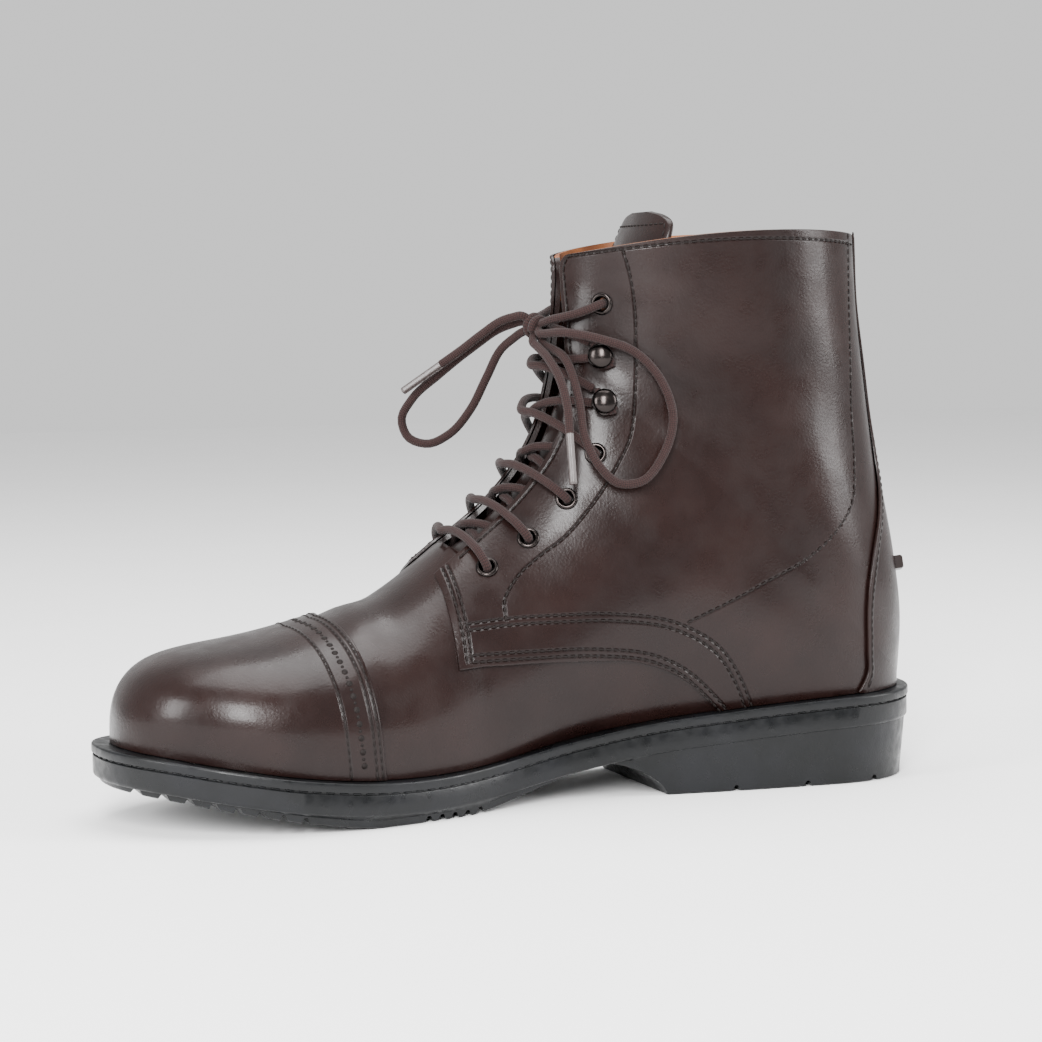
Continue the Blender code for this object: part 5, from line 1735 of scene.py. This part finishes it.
@dataclass
class Sole:
    """The moulded sole: welt strip, groove, side wall, tread and heel in one piece."""

    last: Last
    seat_margin: float = 5.0 * MM
    welt: float = 3.0 * MM
    groove_height: float = 0.8 * MM
    groove_depth: float = 1.1 * MM
    wall_depth: float = 10.8 * MM
    chamfer: float = 0.8 * MM
    tread_inset: float = 2.6 * MM
    tread_depth: float = 2.4 * MM
    station_count: int = 170
    dash_height: float = 0.72 * MM
    dash_length: float = 3.2 * MM
    dash_pitch: float = 4.6 * MM
    insole_gap: float = 3.5 * MM
    insole_thick: float = 3.0 * MM

    def levels(self) -> list[tuple[float, Callable]]:
        """Return the margin and the height of each level from the top to the tread."""
        groove = self.welt + self.groove_height
        wall = 0.3 * self.groove_depth
        top = self.last.sole_top

        def below(depth: float) -> Callable:
            return lambda place: top(place) - depth

        def foot(rise: float, share: float) -> Callable:
            return lambda place: np.minimum(self.last.sole_bottom(place) + rise,
                                            top(place) - self.wall_depth - share * self.chamfer)

        rounding = [(1 - math.sin(turn), 1 - math.cos(turn)) for turn in np.linspace(0.15, math.pi / 2, 5)]
        levels = [(self.seat_margin, below(0))]
        levels += [(self.chamfer * side, below(self.chamfer * drop)) for side, drop in rounding]
        levels += [
            (0.0, below(self.welt - 0.3 * self.chamfer)),
            (0.1 * self.chamfer, below(self.welt)),
            (self.groove_depth, below(self.welt)),
            (self.groove_depth, below(groove)),
            (wall + 0.2 * self.chamfer, below(groove)),
            (wall, below(groove + 0.3 * self.chamfer)),
            (wall, below(self.wall_depth - 1.6 * self.chamfer)),
            (wall + 0.12 * self.chamfer, below(self.wall_depth - 0.9 * self.chamfer)),
            (wall + 0.45 * self.chamfer, below(self.wall_depth - 0.35 * self.chamfer)),
            (wall + self.chamfer, below(self.wall_depth)),
            (self.tread_inset, foot(self.tread_depth, 0.2)),
            (self.tread_inset + 0.1 * self.chamfer, foot(0.3 * MM, 0.3)),
            (self.tread_inset + 0.5 * self.chamfer, foot(0, 0.4)),
        ]
        return levels

    def ring(self, margin: float, height: Callable, along: np.ndarray) -> np.ndarray:
        """Return one level's points round the sole."""
        loop = []
        for side, order in ((Side.MEDIAL, along), (Side.LATERAL, along[-2:0:-1])):
            place, reach = self.last.outline(order, side, margin, margin, margin)
            loop.append(np.stack([place, reach, height(place)], axis=1))
        return self.last.to_frame(np.concatenate(loop))

    def stations(self) -> np.ndarray:
        """Return shares along the sole, close at both ends and at the heel's breast."""
        shares = list((1 - np.cos(np.linspace(0, math.pi, self.station_count))) / 2)
        breast = np.linspace(0, 1, 9) ** 1.6
        shares += [(self.last.heel_breast + self.last.breast_slope * part) / self.last.sole_length
                   for part in breast]
        return np.unique(np.round(shares, 4))

    def make(self, rubber: bpy.types.Material) -> bpy.types.Object:
        """Build the sole and cut its tread."""
        along = self.stations()
        rings = [self.ring(margin, height, along) for margin, height in self.levels()]
        size = len(rings[0])
        faces = []
        for level in range(len(rings) - 1):
            for k in range(size):
                following = (k + 1) % size
                faces.append([level * size + k, (level + 1) * size + k,
                              (level + 1) * size + following, level * size + following])
        count = len(along)
        for level in (0, len(rings) - 1):
            for k in range(count - 1):
                corners = [k, k + 1, (size - k - 1) % size, (size - k) % size]
                faces.append([level * size + corner for corner in dict.fromkeys(corners)])
        made = piece("sole_unit", np.concatenate(rings), faces, (rubber,), None, 35.0)
        self._clean(made)
        tool = self._tread_tool()
        modifier = made.modifiers.new("tread", "BOOLEAN")
        modifier.operation = "DIFFERENCE"
        modifier.solver = "EXACT"
        modifier.object = tool
        result = evaluated(made)
        bpy.data.objects.remove(tool, do_unlink=True)
        result.data.materials.clear()
        result.data.materials.append(rubber)
        result.data.polygons.foreach_set("material_index", np.zeros(len(result.data.polygons), np.int32))
        result.data.set_sharp_from_angle(angle=math.radians(35))
        return settled(result, "rubber", "sole")

    def _clean(self, made: bpy.types.Object) -> None:
        """Turn a shape's faces outwards."""
        build = bmesh.new()
        build.from_mesh(made.data)
        bmesh.ops.remove_doubles(build, verts=build.verts, dist=1e-6)
        bmesh.ops.recalc_face_normals(build, faces=build.faces)
        build.to_mesh(made.data)
        build.free()

    def _tread_tool(self) -> bpy.types.Object:
        """Make the wedges that cut grooves across the tread and a groove along each side of it."""
        cuts = [0.585 + 0.017 * count for count in range(5)]
        cuts += [0.80 + 0.024 * count for count in range(8)]
        cuts += [0.08, 0.17, 0.26]
        points, faces = [], []
        half = 0.45 * self.tread_depth
        top = 0.8 * self.tread_depth
        for share in cuts:
            place = share * self.last.sole_length
            level = float(self.last.sole_bottom(place))
            ahead, behind = (float(self.last.sole_bottom(place + shift)) for shift in (3 * MM, -3 * MM))
            slope = (ahead - behind) / (6 * MM)
            start = len(points)
            for side in (-self.last.ball_width, self.last.ball_width):
                for shift, height in ((-2 * half, -half), (2 * half, -half), (0.5 * half, top),
                                      (-0.5 * half, top)):
                    points.append((place + shift, side, level + slope * shift + height))
            faces.append([start + k for k in range(4)])
            faces.append([start + 7 - k for k in range(4)])
            for k in range(4):
                following = (k + 1) % 4
                faces.append([start + following, start + k, start + 4 + k, start + 4 + following])
        tool = piece("tread_tool", self.last.to_frame(np.array(points)), faces, (), None)
        self._clean(tool)
        return tool

    def welt_marks(self, rubber: bpy.types.Material) -> bpy.types.Object:
        """Mould a row of raised dashes into the groove under the welt strip."""
        along = self.stations()[2:-2]
        middle = self.welt + 0.5 * self.groove_height
        loop = self.ring(self.groove_depth - 0.15 * MM,
                         lambda place: self.last.sole_top(place) - middle, along)
        made = lines_object("welt_dashes", [loop], True)
        repeat_along(made, rubber, {"Pitch": self.dash_pitch, "Length": self.dash_length,
                                   "Thickness": self.dash_height})
        return settled(evaluated(made), "rubber")

    def insole(self, cover: bpy.types.Material) -> bpy.types.Object:
        """Build the insole, which fills the bottom of the upper."""
        side = self.last.side_margin + self.insole_gap
        along = self.stations()[::2]
        top = self.last.sole_top
        thick = self.insole_thick
        levels = ((1.5 * MM, thick), (0.3 * MM, thick - 0.3 * MM), (0.0, thick - 1.0 * MM), (0.0, 0.0))
        rings = []
        for inset, height in levels:
            loop = []
            for edge, order in ((Side.MEDIAL, along), (Side.LATERAL, along[-2:0:-1])):
                inward = self.insole_gap + inset
                place, reach = self.last.outline(order, edge, side + inset, self.last.toe_margin + inward,
                                                 self.last.heel_margin + inward)
                loop.append(np.stack([place, reach, top(place) + self.last.fit_gap + height], axis=1))
            rings.append(self.last.to_frame(np.concatenate(loop)))
        size = len(rings[0])
        faces = [[level * size + k, (level + 1) * size + k, (level + 1) * size + (k + 1) % size,
                  level * size + (k + 1) % size] for level in range(len(rings) - 1) for k in range(size)]
        for level in (0, len(rings) - 1):
            for k in range(len(along) - 1):
                corners = [k, k + 1, (size - k - 1) % size, (size - k) % size]
                faces.append([level * size + corner for corner in dict.fromkeys(corners)])
        made = piece("insole_board", np.concatenate(rings), faces, (cover,), None, 35.0)
        self._clean(made)
        return settled(made, "insole", "insole")


@dataclass
class Fastenings:
    """Eyelets and lace hooks on both facings."""

    last: Last
    margin: float = 16.2 * MM
    eyelet_diameter: float = 7.6 * MM
    eyelet_bore: float = 4.4 * MM
    eyelet_height: float = 1.0 * MM
    eyelet_barrel: float = 5.2 * MM
    hook_head: float = 8.6 * MM
    hook_base: float = 7.6 * MM
    hook_neck: float = 3.6 * MM
    hook_height: float = 7.8 * MM
    turns: int = 36

    def __post_init__(self) -> None:
        """Find every fastening's place and direction."""
        last = self.last
        self.places = {}
        for side in SIDES:
            for row, (kind, step, _) in enumerate(LACE_ROWS):
                share = self.share(row, step, side)
                base = last.raised(step, share, side, Layers.overlay)
                top = last.raised(step, share, side, Layers.overlay + self.hook_height)
                axis = (top - base) / np.linalg.norm(top - base)
                self.places[(row, side)] = (kind, base, axis)

    def share(self, row: int, step: float, side: Side, inward: float = 0.0) -> float:
        """Return the share at a row's distance from the facing's edge, less an inward move."""
        return float(self.last.facing_share(step, side, self.margin * LACE_ROWS[row][2] - inward))

    def bores(self) -> bpy.types.Object:
        """Make the cutters of the eyelets' holes."""
        build = bmesh.new()
        for kind, base, axis in self.places.values():
            if kind != "eyelet":
                continue
            turn = Vector(axis).to_track_quat("Z", "Y").to_matrix().to_4x4()
            bmesh.ops.create_cone(build, cap_ends=True, segments=24, depth=14 * MM,
                                  radius1=self.eyelet_barrel / 2 + 0.1 * MM,
                                  radius2=self.eyelet_barrel / 2 + 0.1 * MM,
                                  matrix=Matrix.Translation(Vector(base)) @ turn)
        mesh = bpy.data.meshes.new("eyelet_bores")
        build.to_mesh(mesh)
        build.free()
        made = bpy.data.objects.new("eyelet_bores", mesh)
        bpy.context.scene.collection.objects.link(made)
        return made

    def pierce(self, made: bpy.types.Object, tool: bpy.types.Object) -> bpy.types.Object:
        """Cut the eyelets' holes through a panel."""
        modifier = made.modifiers.new("holes", "BOOLEAN")
        modifier.operation = "DIFFERENCE"
        modifier.solver = "EXACT"
        modifier.object = tool
        return evaluated(made)

    def eyelets(self, metal: bpy.types.Material) -> bpy.types.Object:
        """Make the eyelets with one tree that repeats a rolled ring and its barrel."""
        names, points, axes = [], [], []
        for (row, side), (kind, base, axis) in self.places.items():
            if kind == "eyelet":
                names.append(f"eyelet_{side.name.lower()}_{row + 1}")
                points.append(base)
                axes.append(axis)
        made = ring_points("eyelet_rings", np.array(points), np.array(axes))
        ring = (self.eyelet_diameter - self.eyelet_bore) / 4
        sizes = {"Ring Radius": self.eyelet_diameter / 2 - ring, "Ring Thickness": ring,
                 "Barrel Radius": (self.eyelet_barrel + self.eyelet_bore) / 4, "Barrel Depth": 4.2 * MM}
        tree = tree_with("eyelet_ring_tree", sizes)
        source = add_node(tree, "NodeGroupInput")
        path = add_node(tree, "GeometryNodeCurvePrimitiveCircle",
                        {"Resolution": 36, "Radius": source.outputs["Ring Radius"]})
        profile = add_node(tree, "GeometryNodeCurvePrimitiveCircle",
                           {"Resolution": 14, "Radius": source.outputs["Ring Thickness"]})
        roll = add_node(tree, "GeometryNodeCurveToMesh",
                        {"Curve": path.outputs["Curve"], "Profile Curve": profile.outputs["Curve"]})
        low = add_node(tree, "GeometryNodeTransform", {
            "Geometry": roll.outputs[0], "Translation": (0, 0, 0.25 * MM), "Scale": (1, 1, 0.95)})
        circle = add_node(tree, "GeometryNodeCurvePrimitiveCircle",
                          {"Resolution": 36, "Radius": source.outputs["Barrel Radius"]})
        wall = add_node(tree, "GeometryNodeCurvePrimitiveQuadrilateral",
                        {"Width": 0.4 * MM, "Height": source.outputs["Barrel Depth"]})
        tube = add_node(tree, "GeometryNodeCurveToMesh",
                        {"Curve": circle.outputs["Curve"], "Profile Curve": wall.outputs["Curve"]})
        sunk = add_node(tree, "GeometryNodeTransform", {
            "Geometry": tube.outputs[0], "Translation": (0, 0, -1.8 * MM)})
        both = add_node(tree, "GeometryNodeJoinGeometry", {"Geometry": low.outputs[0]})
        tree.links.new(sunk.outputs[0], both.inputs[0])
        turn = outward(tree)
        placed = add_node(tree, "GeometryNodeInstanceOnPoints", {
            "Points": source.outputs["Geometry"], "Instance": both.outputs[0], "Rotation": turn.outputs[0]})
        finish_tree(tree, placed.outputs[0], metal)
        attach(made, tree, sizes)
        return settled(evaluated(made), "metal", *names)

    def hook_profile(self) -> list[tuple[float, float]]:
        """Return a hook's radii and heights from its domed head down to its base ring."""
        head, neck, foot = self.hook_head / 2, self.hook_neck / 2, self.hook_base / 2
        flange = 0.11 * self.hook_height
        throat = flange + 3.4 * MM
        dome = self.hook_height - throat
        profile = [(0.0, self.hook_height)]
        for turn in np.linspace(0.15, math.pi / 2, 10):
            profile.append((head * math.sin(turn), throat + dome * (0.38 + 0.62 * math.cos(turn))))
        for turn in np.linspace(0.3, math.pi / 2, 5):
            height = throat + dome * 0.38 * (1 - math.sin(turn))
            profile.append((head * (0.8 + 0.2 * math.cos(turn)), height))
        profile += [(neck * 1.15, throat - 0.1 * MM), (neck, throat - 0.5 * MM), (neck, flange + 0.4 * MM),
                    (neck * 1.2, flange), (foot * 0.85, flange), (foot, 0.6 * flange), (foot, 0.0),
                    (0.0, 0.0)]
        return profile

    def hooks(self, metal: bpy.types.Material) -> None:
        """Make the lace hooks."""
        profile = np.array(self.hook_profile())
        turns = np.linspace(0, 2 * math.pi, self.turns, endpoint=False)
        for (row, side), (kind, base, axis) in self.places.items():
            if kind != "hook":
                continue
            turn = np.array(Vector(axis).to_track_quat("Z", "Y").to_matrix())
            rings = [np.stack([radius * np.cos(turns), radius * np.sin(turns),
                               np.full(self.turns, height)], 1)
                     for radius, height in profile[1:-1]]
            points = [np.array([[0, 0, profile[0][1]]]), *rings, np.array([[0, 0, 0.0]])]
            points = np.concatenate(points) @ turn.T + base
            faces = []
            for k in range(self.turns):
                following = (k + 1) % self.turns
                faces.append([0, 1 + k, 1 + following])
                for level in range(len(rings) - 1):
                    start = 1 + level * self.turns
                    faces.append([start + k, start + self.turns + k, start + self.turns + following,
                                  start + following])
                start = 1 + (len(rings) - 1) * self.turns
                faces.append([start + following, start + k, len(points) - 1])
            name = f"{side.name.lower()}_lace_hook_{row + 1}"
            made = piece(name, points, faces, (metal,), None, 50.0)
            settled(made, "metal", f"hook_{side.name.lower()}_{row + 1}")


def tube(name: str, runs: Sequence[np.ndarray], diameter: float, material: bpy.types.Material,
         sides: int = 16, taper: float = 0.35) -> bpy.types.Object:
    """Make round tubes along runs of points, as one object.

    Args:
        name: The object's name.
        runs: Lines of points.
        diameter: The tubes' diameter.
        material: The tubes' material.
        sides: Sides of a tube.
        taper: Share of the radius left at a closed end.

    Returns:
        The tubes with a UV map that runs round them and along them in millimetres.
    """
    points, faces, uvs = [], [], []
    turns = np.linspace(0, 2 * math.pi, sides, endpoint=False)
    for run in runs:
        along = np.gradient(run, axis=0)
        along /= np.maximum(np.linalg.norm(along, axis=1), 1e-12)[:, None]
        normal = np.cross(along[0], (0.31, 0.52, 0.79))
        normal /= np.linalg.norm(normal)
        start = len(points) and sum(len(part) for part in points)
        distance = lengths_along(run) / MM
        for row, (centre, direction) in enumerate(zip(run, along)):
            normal = normal - direction * (normal @ direction)
            normal /= np.linalg.norm(normal)
            side = np.cross(direction, normal)
            radius = diameter / 2 * (taper if row in (0, len(run) - 1) else 1.0)
            outward_part = np.cos(turns)[:, None] * normal + np.sin(turns)[:, None] * side
            points.append(centre + radius * outward_part)
        for row in range(len(run) - 1):
            for k in range(sides):
                following = (k + 1) % sides
                low, high = start + row * sides, start + (row + 1) * sides
                faces.append([low + k, low + following, high + following, high + k])
                uvs += [(k / sides, distance[row]), ((k + 1) / sides, distance[row]),
                        ((k + 1) / sides, distance[row + 1]), (k / sides, distance[row + 1])]
        faces.append([start + k for k in reversed(range(sides))])
        faces.append([start + (len(run) - 1) * sides + k for k in range(sides)])
        uvs += [(0.5, distance[0])] * sides + [(0.5, distance[-1])] * sides
    made = piece(name, np.concatenate(points), faces, (material,), None, 60.0)
    layer = made.data.uv_layers.new(name="lengthwise")
    layer.data.foreach_set("uv", np.array(uvs, np.float32).reshape(-1))
    return made


@dataclass
class Lacing:
    """The lace: rows over the vamp, crossings round the hooks, the knot and the bow."""

    last: Last
    fastenings: Fastenings
    diameter: float = 3.0 * MM
    gap: float = 0.4 * MM
    hook_spread: float = 0.42
    knot_climb: float = 0.737
    tail_climb: float = 0.74
    knot_lift: float = 7.2 * MM
    aglet_length: float = 18 * MM
    aglet_diameter: float = 2.4 * MM
    bow_reach: float = 50 * MM
    spacing: float = 1.0 * MM

    def __post_init__(self) -> None:
        """Work out the lifts of the lace over eyelets, round hooks and over the opening."""
        last = self.last
        surface = Layers.overlay + last.fit_gap
        self.over_eyelet = surface + Fastenings.eyelet_height + self.gap + self.diameter / 2
        self.round_hook = surface + 0.11 * Fastenings.hook_height + self.gap / 2 + self.diameter / 2
        self.over_opening = Layers.overlay + self.gap + self.diameter / 2
        self.below = -Layers.upper_wall - 0.25 * MM - self.diameter / 2
        self.knot = last.raised(last.climb_step(self.knot_climb), 1.0, Side.MEDIAL, self.knot_lift)

    def point(self, step: float, share: float, side: Side, lift: float) -> np.ndarray:
        """Return one point above the skin."""
        return self.last.raised(step, share, side, lift)

    def across(self, rows: tuple[int, int], shifts: tuple[float, float], lifts: tuple[float, float],
               sides: tuple[Side, Side], middle: float, holes: tuple[bool, bool],
               over: float = 0.0) -> np.ndarray:
        """Return a lace's line over the opening from one row to another.

        Args:
            rows: Where it starts and ends.
            shifts: How far its ends move along the facing.
            lifts: Its height at both ends.
            sides: The sides of its ends.
            middle: Its height over the middle of the opening.
            holes: Whether its ends go down through an eyelet.
            over: Extra height near the middle, where it passes over another lace.

        Returns:
            Evenly spaced points.
        """
        ends = []
        for row, shift, side in zip(rows, shifts, sides):
            kind, step = LACE_ROWS[row][:2]
            inward = 0.0 if kind == "eyelet" else (Fastenings.hook_neck + self.diameter) / 2 + self.gap
            share = self.fastenings.share(row, step + shift, side, inward)
            ends.append((step + shift, share, self.point(step + shift, share, side, 0.0)))
        crest = self.last.crest_step((ends[0][2] + ends[1][2]) / 2)
        points = []
        for turn in np.linspace(-1, 1, 13):
            index = 0 if turn < 0 else 1
            step, share, _ = ends[index]
            far = abs(turn)
            lift = middle + (lifts[index] - middle) * far**1.5 + over * (1 - far) ** 2
            points.append(self.point(crest + (step - crest) * far, 1 - (1 - share) * far,
                                     sides[index], lift))
        if holes[0]:
            points = [self._down(rows[0], sides[0]), self._rim(rows[0], sides[0]), *points[1:]]
        if holes[1]:
            points = [*points[:-1], self._rim(rows[1], sides[1]), self._down(rows[1], sides[1])]
        return route(points, self.spacing)

    def _rim(self, row: int, side: Side) -> np.ndarray:
        """Return the lace's place in the mouth of an eyelet."""
        _, base, axis = self.fastenings.places[(row, side)]
        return base + axis * 0.9 * MM

    def _down(self, row: int, side: Side) -> np.ndarray:
        """Return the lace's place under an eyelet."""
        _, base, axis = self.fastenings.places[(row, side)]
        return base - axis * 4.6 * MM

    def rows(self) -> list[np.ndarray]:
        """Return the lace's runs over and under the facings."""
        medial, lateral = Side.MEDIAL, Side.LATERAL
        both = ((medial, lateral), (lateral, medial))
        runs = []
        for row in range(3):
            runs.append(self.across((row, row), (0, 0), (self.over_eyelet,) * 2, both[0],
                                    self.over_opening + 0.3 * MM, (True, True)))
        for row in range(3):
            for number, sides in enumerate(both):
                middle = self.below + (0.0 if number == 0 else self.diameter + 0.2 * MM)
                runs.append(self.across((row, row + 1), (0.15, -0.15), (self.below - 0.3 * MM,) * 2, sides,
                                        middle, (False, False)))
        spread = self.hook_spread
        for number, sides in enumerate(both):
            over = 0.0 if number else self.diameter + 0.2 * MM
            runs.append(self.across((3, 4), (0, -spread), (self.over_eyelet, self.round_hook), sides,
                                    self.over_opening, (True, False), over))
            runs.append(self.across((4, 5), (spread, -spread), (self.round_hook,) * 2, sides,
                                    self.over_opening, (False, False), over))
        for side in SIDES:
            for row in (4, 5):
                runs.append(self._round_hook(row, side))
            runs.append(self._tail(side))
            runs.append(self._top(side))
        return runs

    def _round_hook(self, row: int, side: Side) -> np.ndarray:
        """Return the lace's run round the outer side of a hook's neck."""
        step = LACE_ROWS[row][1]
        reach = (Fastenings.hook_neck + self.diameter) / 2 + self.gap
        spread = self.hook_spread
        points = []
        for turn in np.linspace(-1, 1, 13):
            angle = turn * 0.82 * math.pi
            inward = reach * -math.cos(angle) if abs(turn) < 1 else reach
            share = self.fastenings.share(row, step + spread * turn, side, inward)
            shift = spread * math.sin(turn * math.pi / 2)
            points.append(self.point(step + shift, share, side, self.round_hook))
        return route(points, self.spacing)

    def _tail(self, side: Side) -> np.ndarray:
        """Return the run from the upper hook into the opening under the knot."""
        low = LACE_ROWS[5][1] + self.hook_spread
        start = self.fastenings.share(5, low, side, (Fastenings.hook_neck + self.diameter) / 2 + self.gap)
        high = self.last.climb_step(self.tail_climb)
        end = 1 - 0.7 * self.diameter / self.last.arc(high, side)
        points = []
        for part in np.linspace(0, 1, 6):
            lift = self.round_hook + (0.5 * self.over_opening - self.round_hook) * part**4
            points.append(self.point(low + (high - low) * part, start + (end - start) * part, side, lift))
        return route(points, self.spacing)

    def _top(self, side: Side) -> np.ndarray:
        """Return the run out of the top eyelet to the knot."""
        top = LACE_ROWS[6][1]
        start = self.fastenings.share(6, top, side)
        points = [self._down(6, side), self._rim(6, side)]
        for part in np.linspace(0.2, 0.75, 4):
            step = top + (self.last.climb_step(self.knot_climb) - top) * part
            lift = self.over_eyelet + (self.knot_lift - self.over_eyelet) * part
            points.append(self.point(step, start + (1 - start) * part, side, lift))
        reach = self.knot - points[-1]
        points.append(self.knot - reach / np.linalg.norm(reach) * 1.2 * MM)
        return route(points, self.spacing)

    def bow_points(self, rows: Sequence) -> np.ndarray:
        """Return a bow's points in the frame from its table of offsets."""
        table = np.array(rows) * self.bow_reach
        return self.knot + np.stack([table[:, 1], -table[:, 0], table[:, 2]], axis=1)

    def make(self, lace: bpy.types.Material, film: bpy.types.Material) -> None:
        """Build the laced rows, the knot, the loops and the ends."""
        made = tube("laced_rows", self.rows(), self.diameter, lace)
        nodes = [f"lace_bar_{k}" for k in (1, 2, 3)] + ["lace_crossing_1", "lace_crossing_2"]
        nodes += ["lace_tail_medial", "lace_tail_lateral", "lace_top_medial", "lace_top_lateral"]
        settled(made, "lace", *nodes)
        tables = {"loop_medial": MEDIAL_LOOP_ROWS, "loop_lateral": LATERAL_LOOP_ROWS,
                  "end_medial": MEDIAL_END_ROWS, "end_lateral": LATERAL_END_ROWS}
        paths = {key: route(self.bow_points(rows), 2 * MM) for key, rows in tables.items()}
        knot = tube("bow_knot", self._knot_runs(paths), self.diameter, lace)
        settled(knot, "lace", "lace_knot")
        for key, path in paths.items():
            name = "bow_" + key
            cord = tube(name, [path], self.diameter, lace, taper=1.0)
            settled(cord, "lace", "lace_" + key)
            extra = [knot] if key == "loop_medial" else []
            if key.startswith("end"):
                extra = [self._tip(key, path, film)]
            float(lengths_along(path)[-1])

    def _tip(self, key: str, path: np.ndarray, film: bpy.types.Material) -> bpy.types.Object:
        """Make the film tip on a lace's end."""
        along = path[-1] - path[-2]
        along /= np.linalg.norm(along)
        start = path[-1] - along * 0.5 * MM
        parts = (0, 0.02, 0.06, 0.3, 0.5, 0.7, 0.94, 0.985, 1)
        run = [start + along * self.aglet_length * part for part in parts]
        tip = tube("tip_" + key, [np.array(run)], self.aglet_diameter * 1.12, film, taper=0.8)
        return settled(tip, "aglet", "aglet_" + key.split("_")[1])

    def _knot_runs(self, paths: dict[str, np.ndarray]) -> list[np.ndarray]:
        """Return the strands that pass through the knot and the strand wrapped round them."""
        loops = [paths["loop_medial"], paths["loop_lateral"]]
        runs = []
        centre = self.knot
        pairs = ((loops[0][:3], loops[1][:3], 0.8 * MM),
                 (loops[0][-3:][::-1], loops[1][-3:][::-1], -0.9 * MM),
                 (paths["end_medial"][:3], paths["end_lateral"][:3], 0.0))
        for first, second, sink in pairs:
            middle = centre + np.array([0, 0, sink])
            runs.append(route([first[1], first[0], middle, second[0], second[1]], self.spacing))
        wrap = []
        axis = loops[0][0] - loops[1][0]
        axis /= np.linalg.norm(axis)
        up = np.array([0, 0, 1.0]) - axis * axis[2]
        up /= np.linalg.norm(up)
        side = np.cross(axis, up)
        for turn in np.linspace(-0.2, 1.35, 18):
            angle = 2 * math.pi * turn
            ring = 3.0 * MM * (math.cos(angle) * up + math.sin(angle) * side)
            wrap.append(centre + ring + axis * (turn - 0.55) * 2.6 * MM)
        runs.append(route(wrap, self.spacing))
        return runs


@dataclass
class Studio:
    """Camera at the photograph's angle, a pale floor and soft light."""

    eye: tuple[float, float, float] = (0.89275, -0.3167, 0.1658)
    aim: tuple[float, float, float] = (0.004, 0.002, 0.0935)
    lens: float = 96.0
    roll: float = math.radians(-0.637)

    def camera(self) -> None:
        """Place the camera."""
        data = bpy.data.cameras.new("camera")
        data.lens = self.lens
        data.sensor_width = 36
        made = bpy.data.objects.new("camera", data)
        look = (Vector(self.aim) - Vector(self.eye)).to_track_quat("-Z", "Y").to_matrix().to_4x4()
        made.matrix_world = Matrix.Translation(Vector(self.eye)) @ look @ Matrix.Rotation(self.roll, 4, "Z")
        bpy.context.scene.collection.objects.link(made)
        bpy.context.scene.camera = made

    def light(self, name: str, place: tuple, size: tuple, power: float,
              aim: tuple[float, float, float] = (0, 0, 0.09)) -> None:
        """Add a soft box."""
        data = bpy.data.lights.new(name, "AREA")
        data.shape = "RECTANGLE"
        data.size, data.size_y = size
        data.energy = power
        made = bpy.data.objects.new(name, data)
        made.location = place
        made.rotation_mode = "QUATERNION"
        made.rotation_quaternion = (Vector(aim) - Vector(place)).to_track_quat("-Z", "Y")
        bpy.context.scene.collection.objects.link(made)

    def make(self, paper: bpy.types.Material) -> None:
        """Set up the camera, the floor, the world and the lights."""
        self.camera()
        size = 3.0
        corners = np.array([(-size, -size, 0), (size, -size, 0), (size, size, 0), (-size, size, 0)])
        floor = piece("floor", corners, [[0, 1, 2, 3]], (paper,))
        floor.location.z = -0.0002
        world = bpy.data.worlds.new("studio")
        world.use_nodes = True
        bpy.context.scene.world = world
        backdrop = world.node_tree.nodes["Background"]
        backdrop.inputs["Color"].default_value = (1, 1, 1, 1)
        backdrop.inputs["Strength"].default_value = 0.95
        self.light("key", (1.15, -0.55, 0.75), (0.38, 0.8), 44)
        self.light("top", (-0.1, 0.1, 1.3), (1.0, 1.0), 26)
        self.light("side", (0.55, 1.1, 0.55), (0.4, 0.8), 17)
        self.light("toe", (0.35, -1.2, 0.5), (0.35, 0.7), 18)


def main() -> None:
    """Build and dress the boot from the sole upwards."""
    logging.basicConfig(level=logging.INFO, format="%(name)s: %(message)s")
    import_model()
    last = Last()
    leather = SmoothLeather().make()
    plain = SmoothLeather(name="polished_cowhide_plain", sewn=False).make()
    lining = Lining().make()
    rubber = MouldedRubber().make()
    metal = PlatedMetal().make()
    lace = BraidedCord().make()
    thread = Thread().make()
    film = TipFilm().make()
    Studio().make(PaleFloor().make())
    fastenings = Fastenings(last)
    Lacing(last, fastenings).make(lace, film)
    sole = Sole(last)
    sole.make(rubber)
    sole.welt_marks(rubber)
    sole.insole(lining)
    bores = fastenings.bores()
    cap = ToeCap(last)
    stitching = Stitching(last, cap)
    upper = Upper(last).make(plain, lining)
    settled(fastenings.pierce(upper, bores), "leather", "upper")
    quarters = fastenings.pierce(Quarters(last).make(leather, plain), bores)
    stitching.mark(quarters, ("band_top", "band_foot", "quarter_front", "facing_edge", "facing_seam",
                              "shaft_seam", "collar_row"))
    settled(quarters, "leather", "quarters")
    toe = cap.make(leather)
    stitching.mark(toe, ("cap_rear", "cap_front"))
    settled(toe, "leather", "toe_cap")
    # Painted shade: dark discs in the thread's material stand in for the toe cap's holes.
    cap.holes(thread)
    counter = Counter(last)
    heel = counter.make(leather)
    stitching.mark(heel, ("counter_row",))
    settled(heel, "leather", "counter")
    counter.spur_rest(plain)
    tongue = Tongue(last)
    tongue.make(plain)
    tongue.seam(thread)
    fastenings.eyelets(metal)
    fastenings.hooks(metal)
    stitching.threads(thread)
    bpy.data.objects.remove(bores, do_unlink=True)


if __name__ == "__main__":
    main()
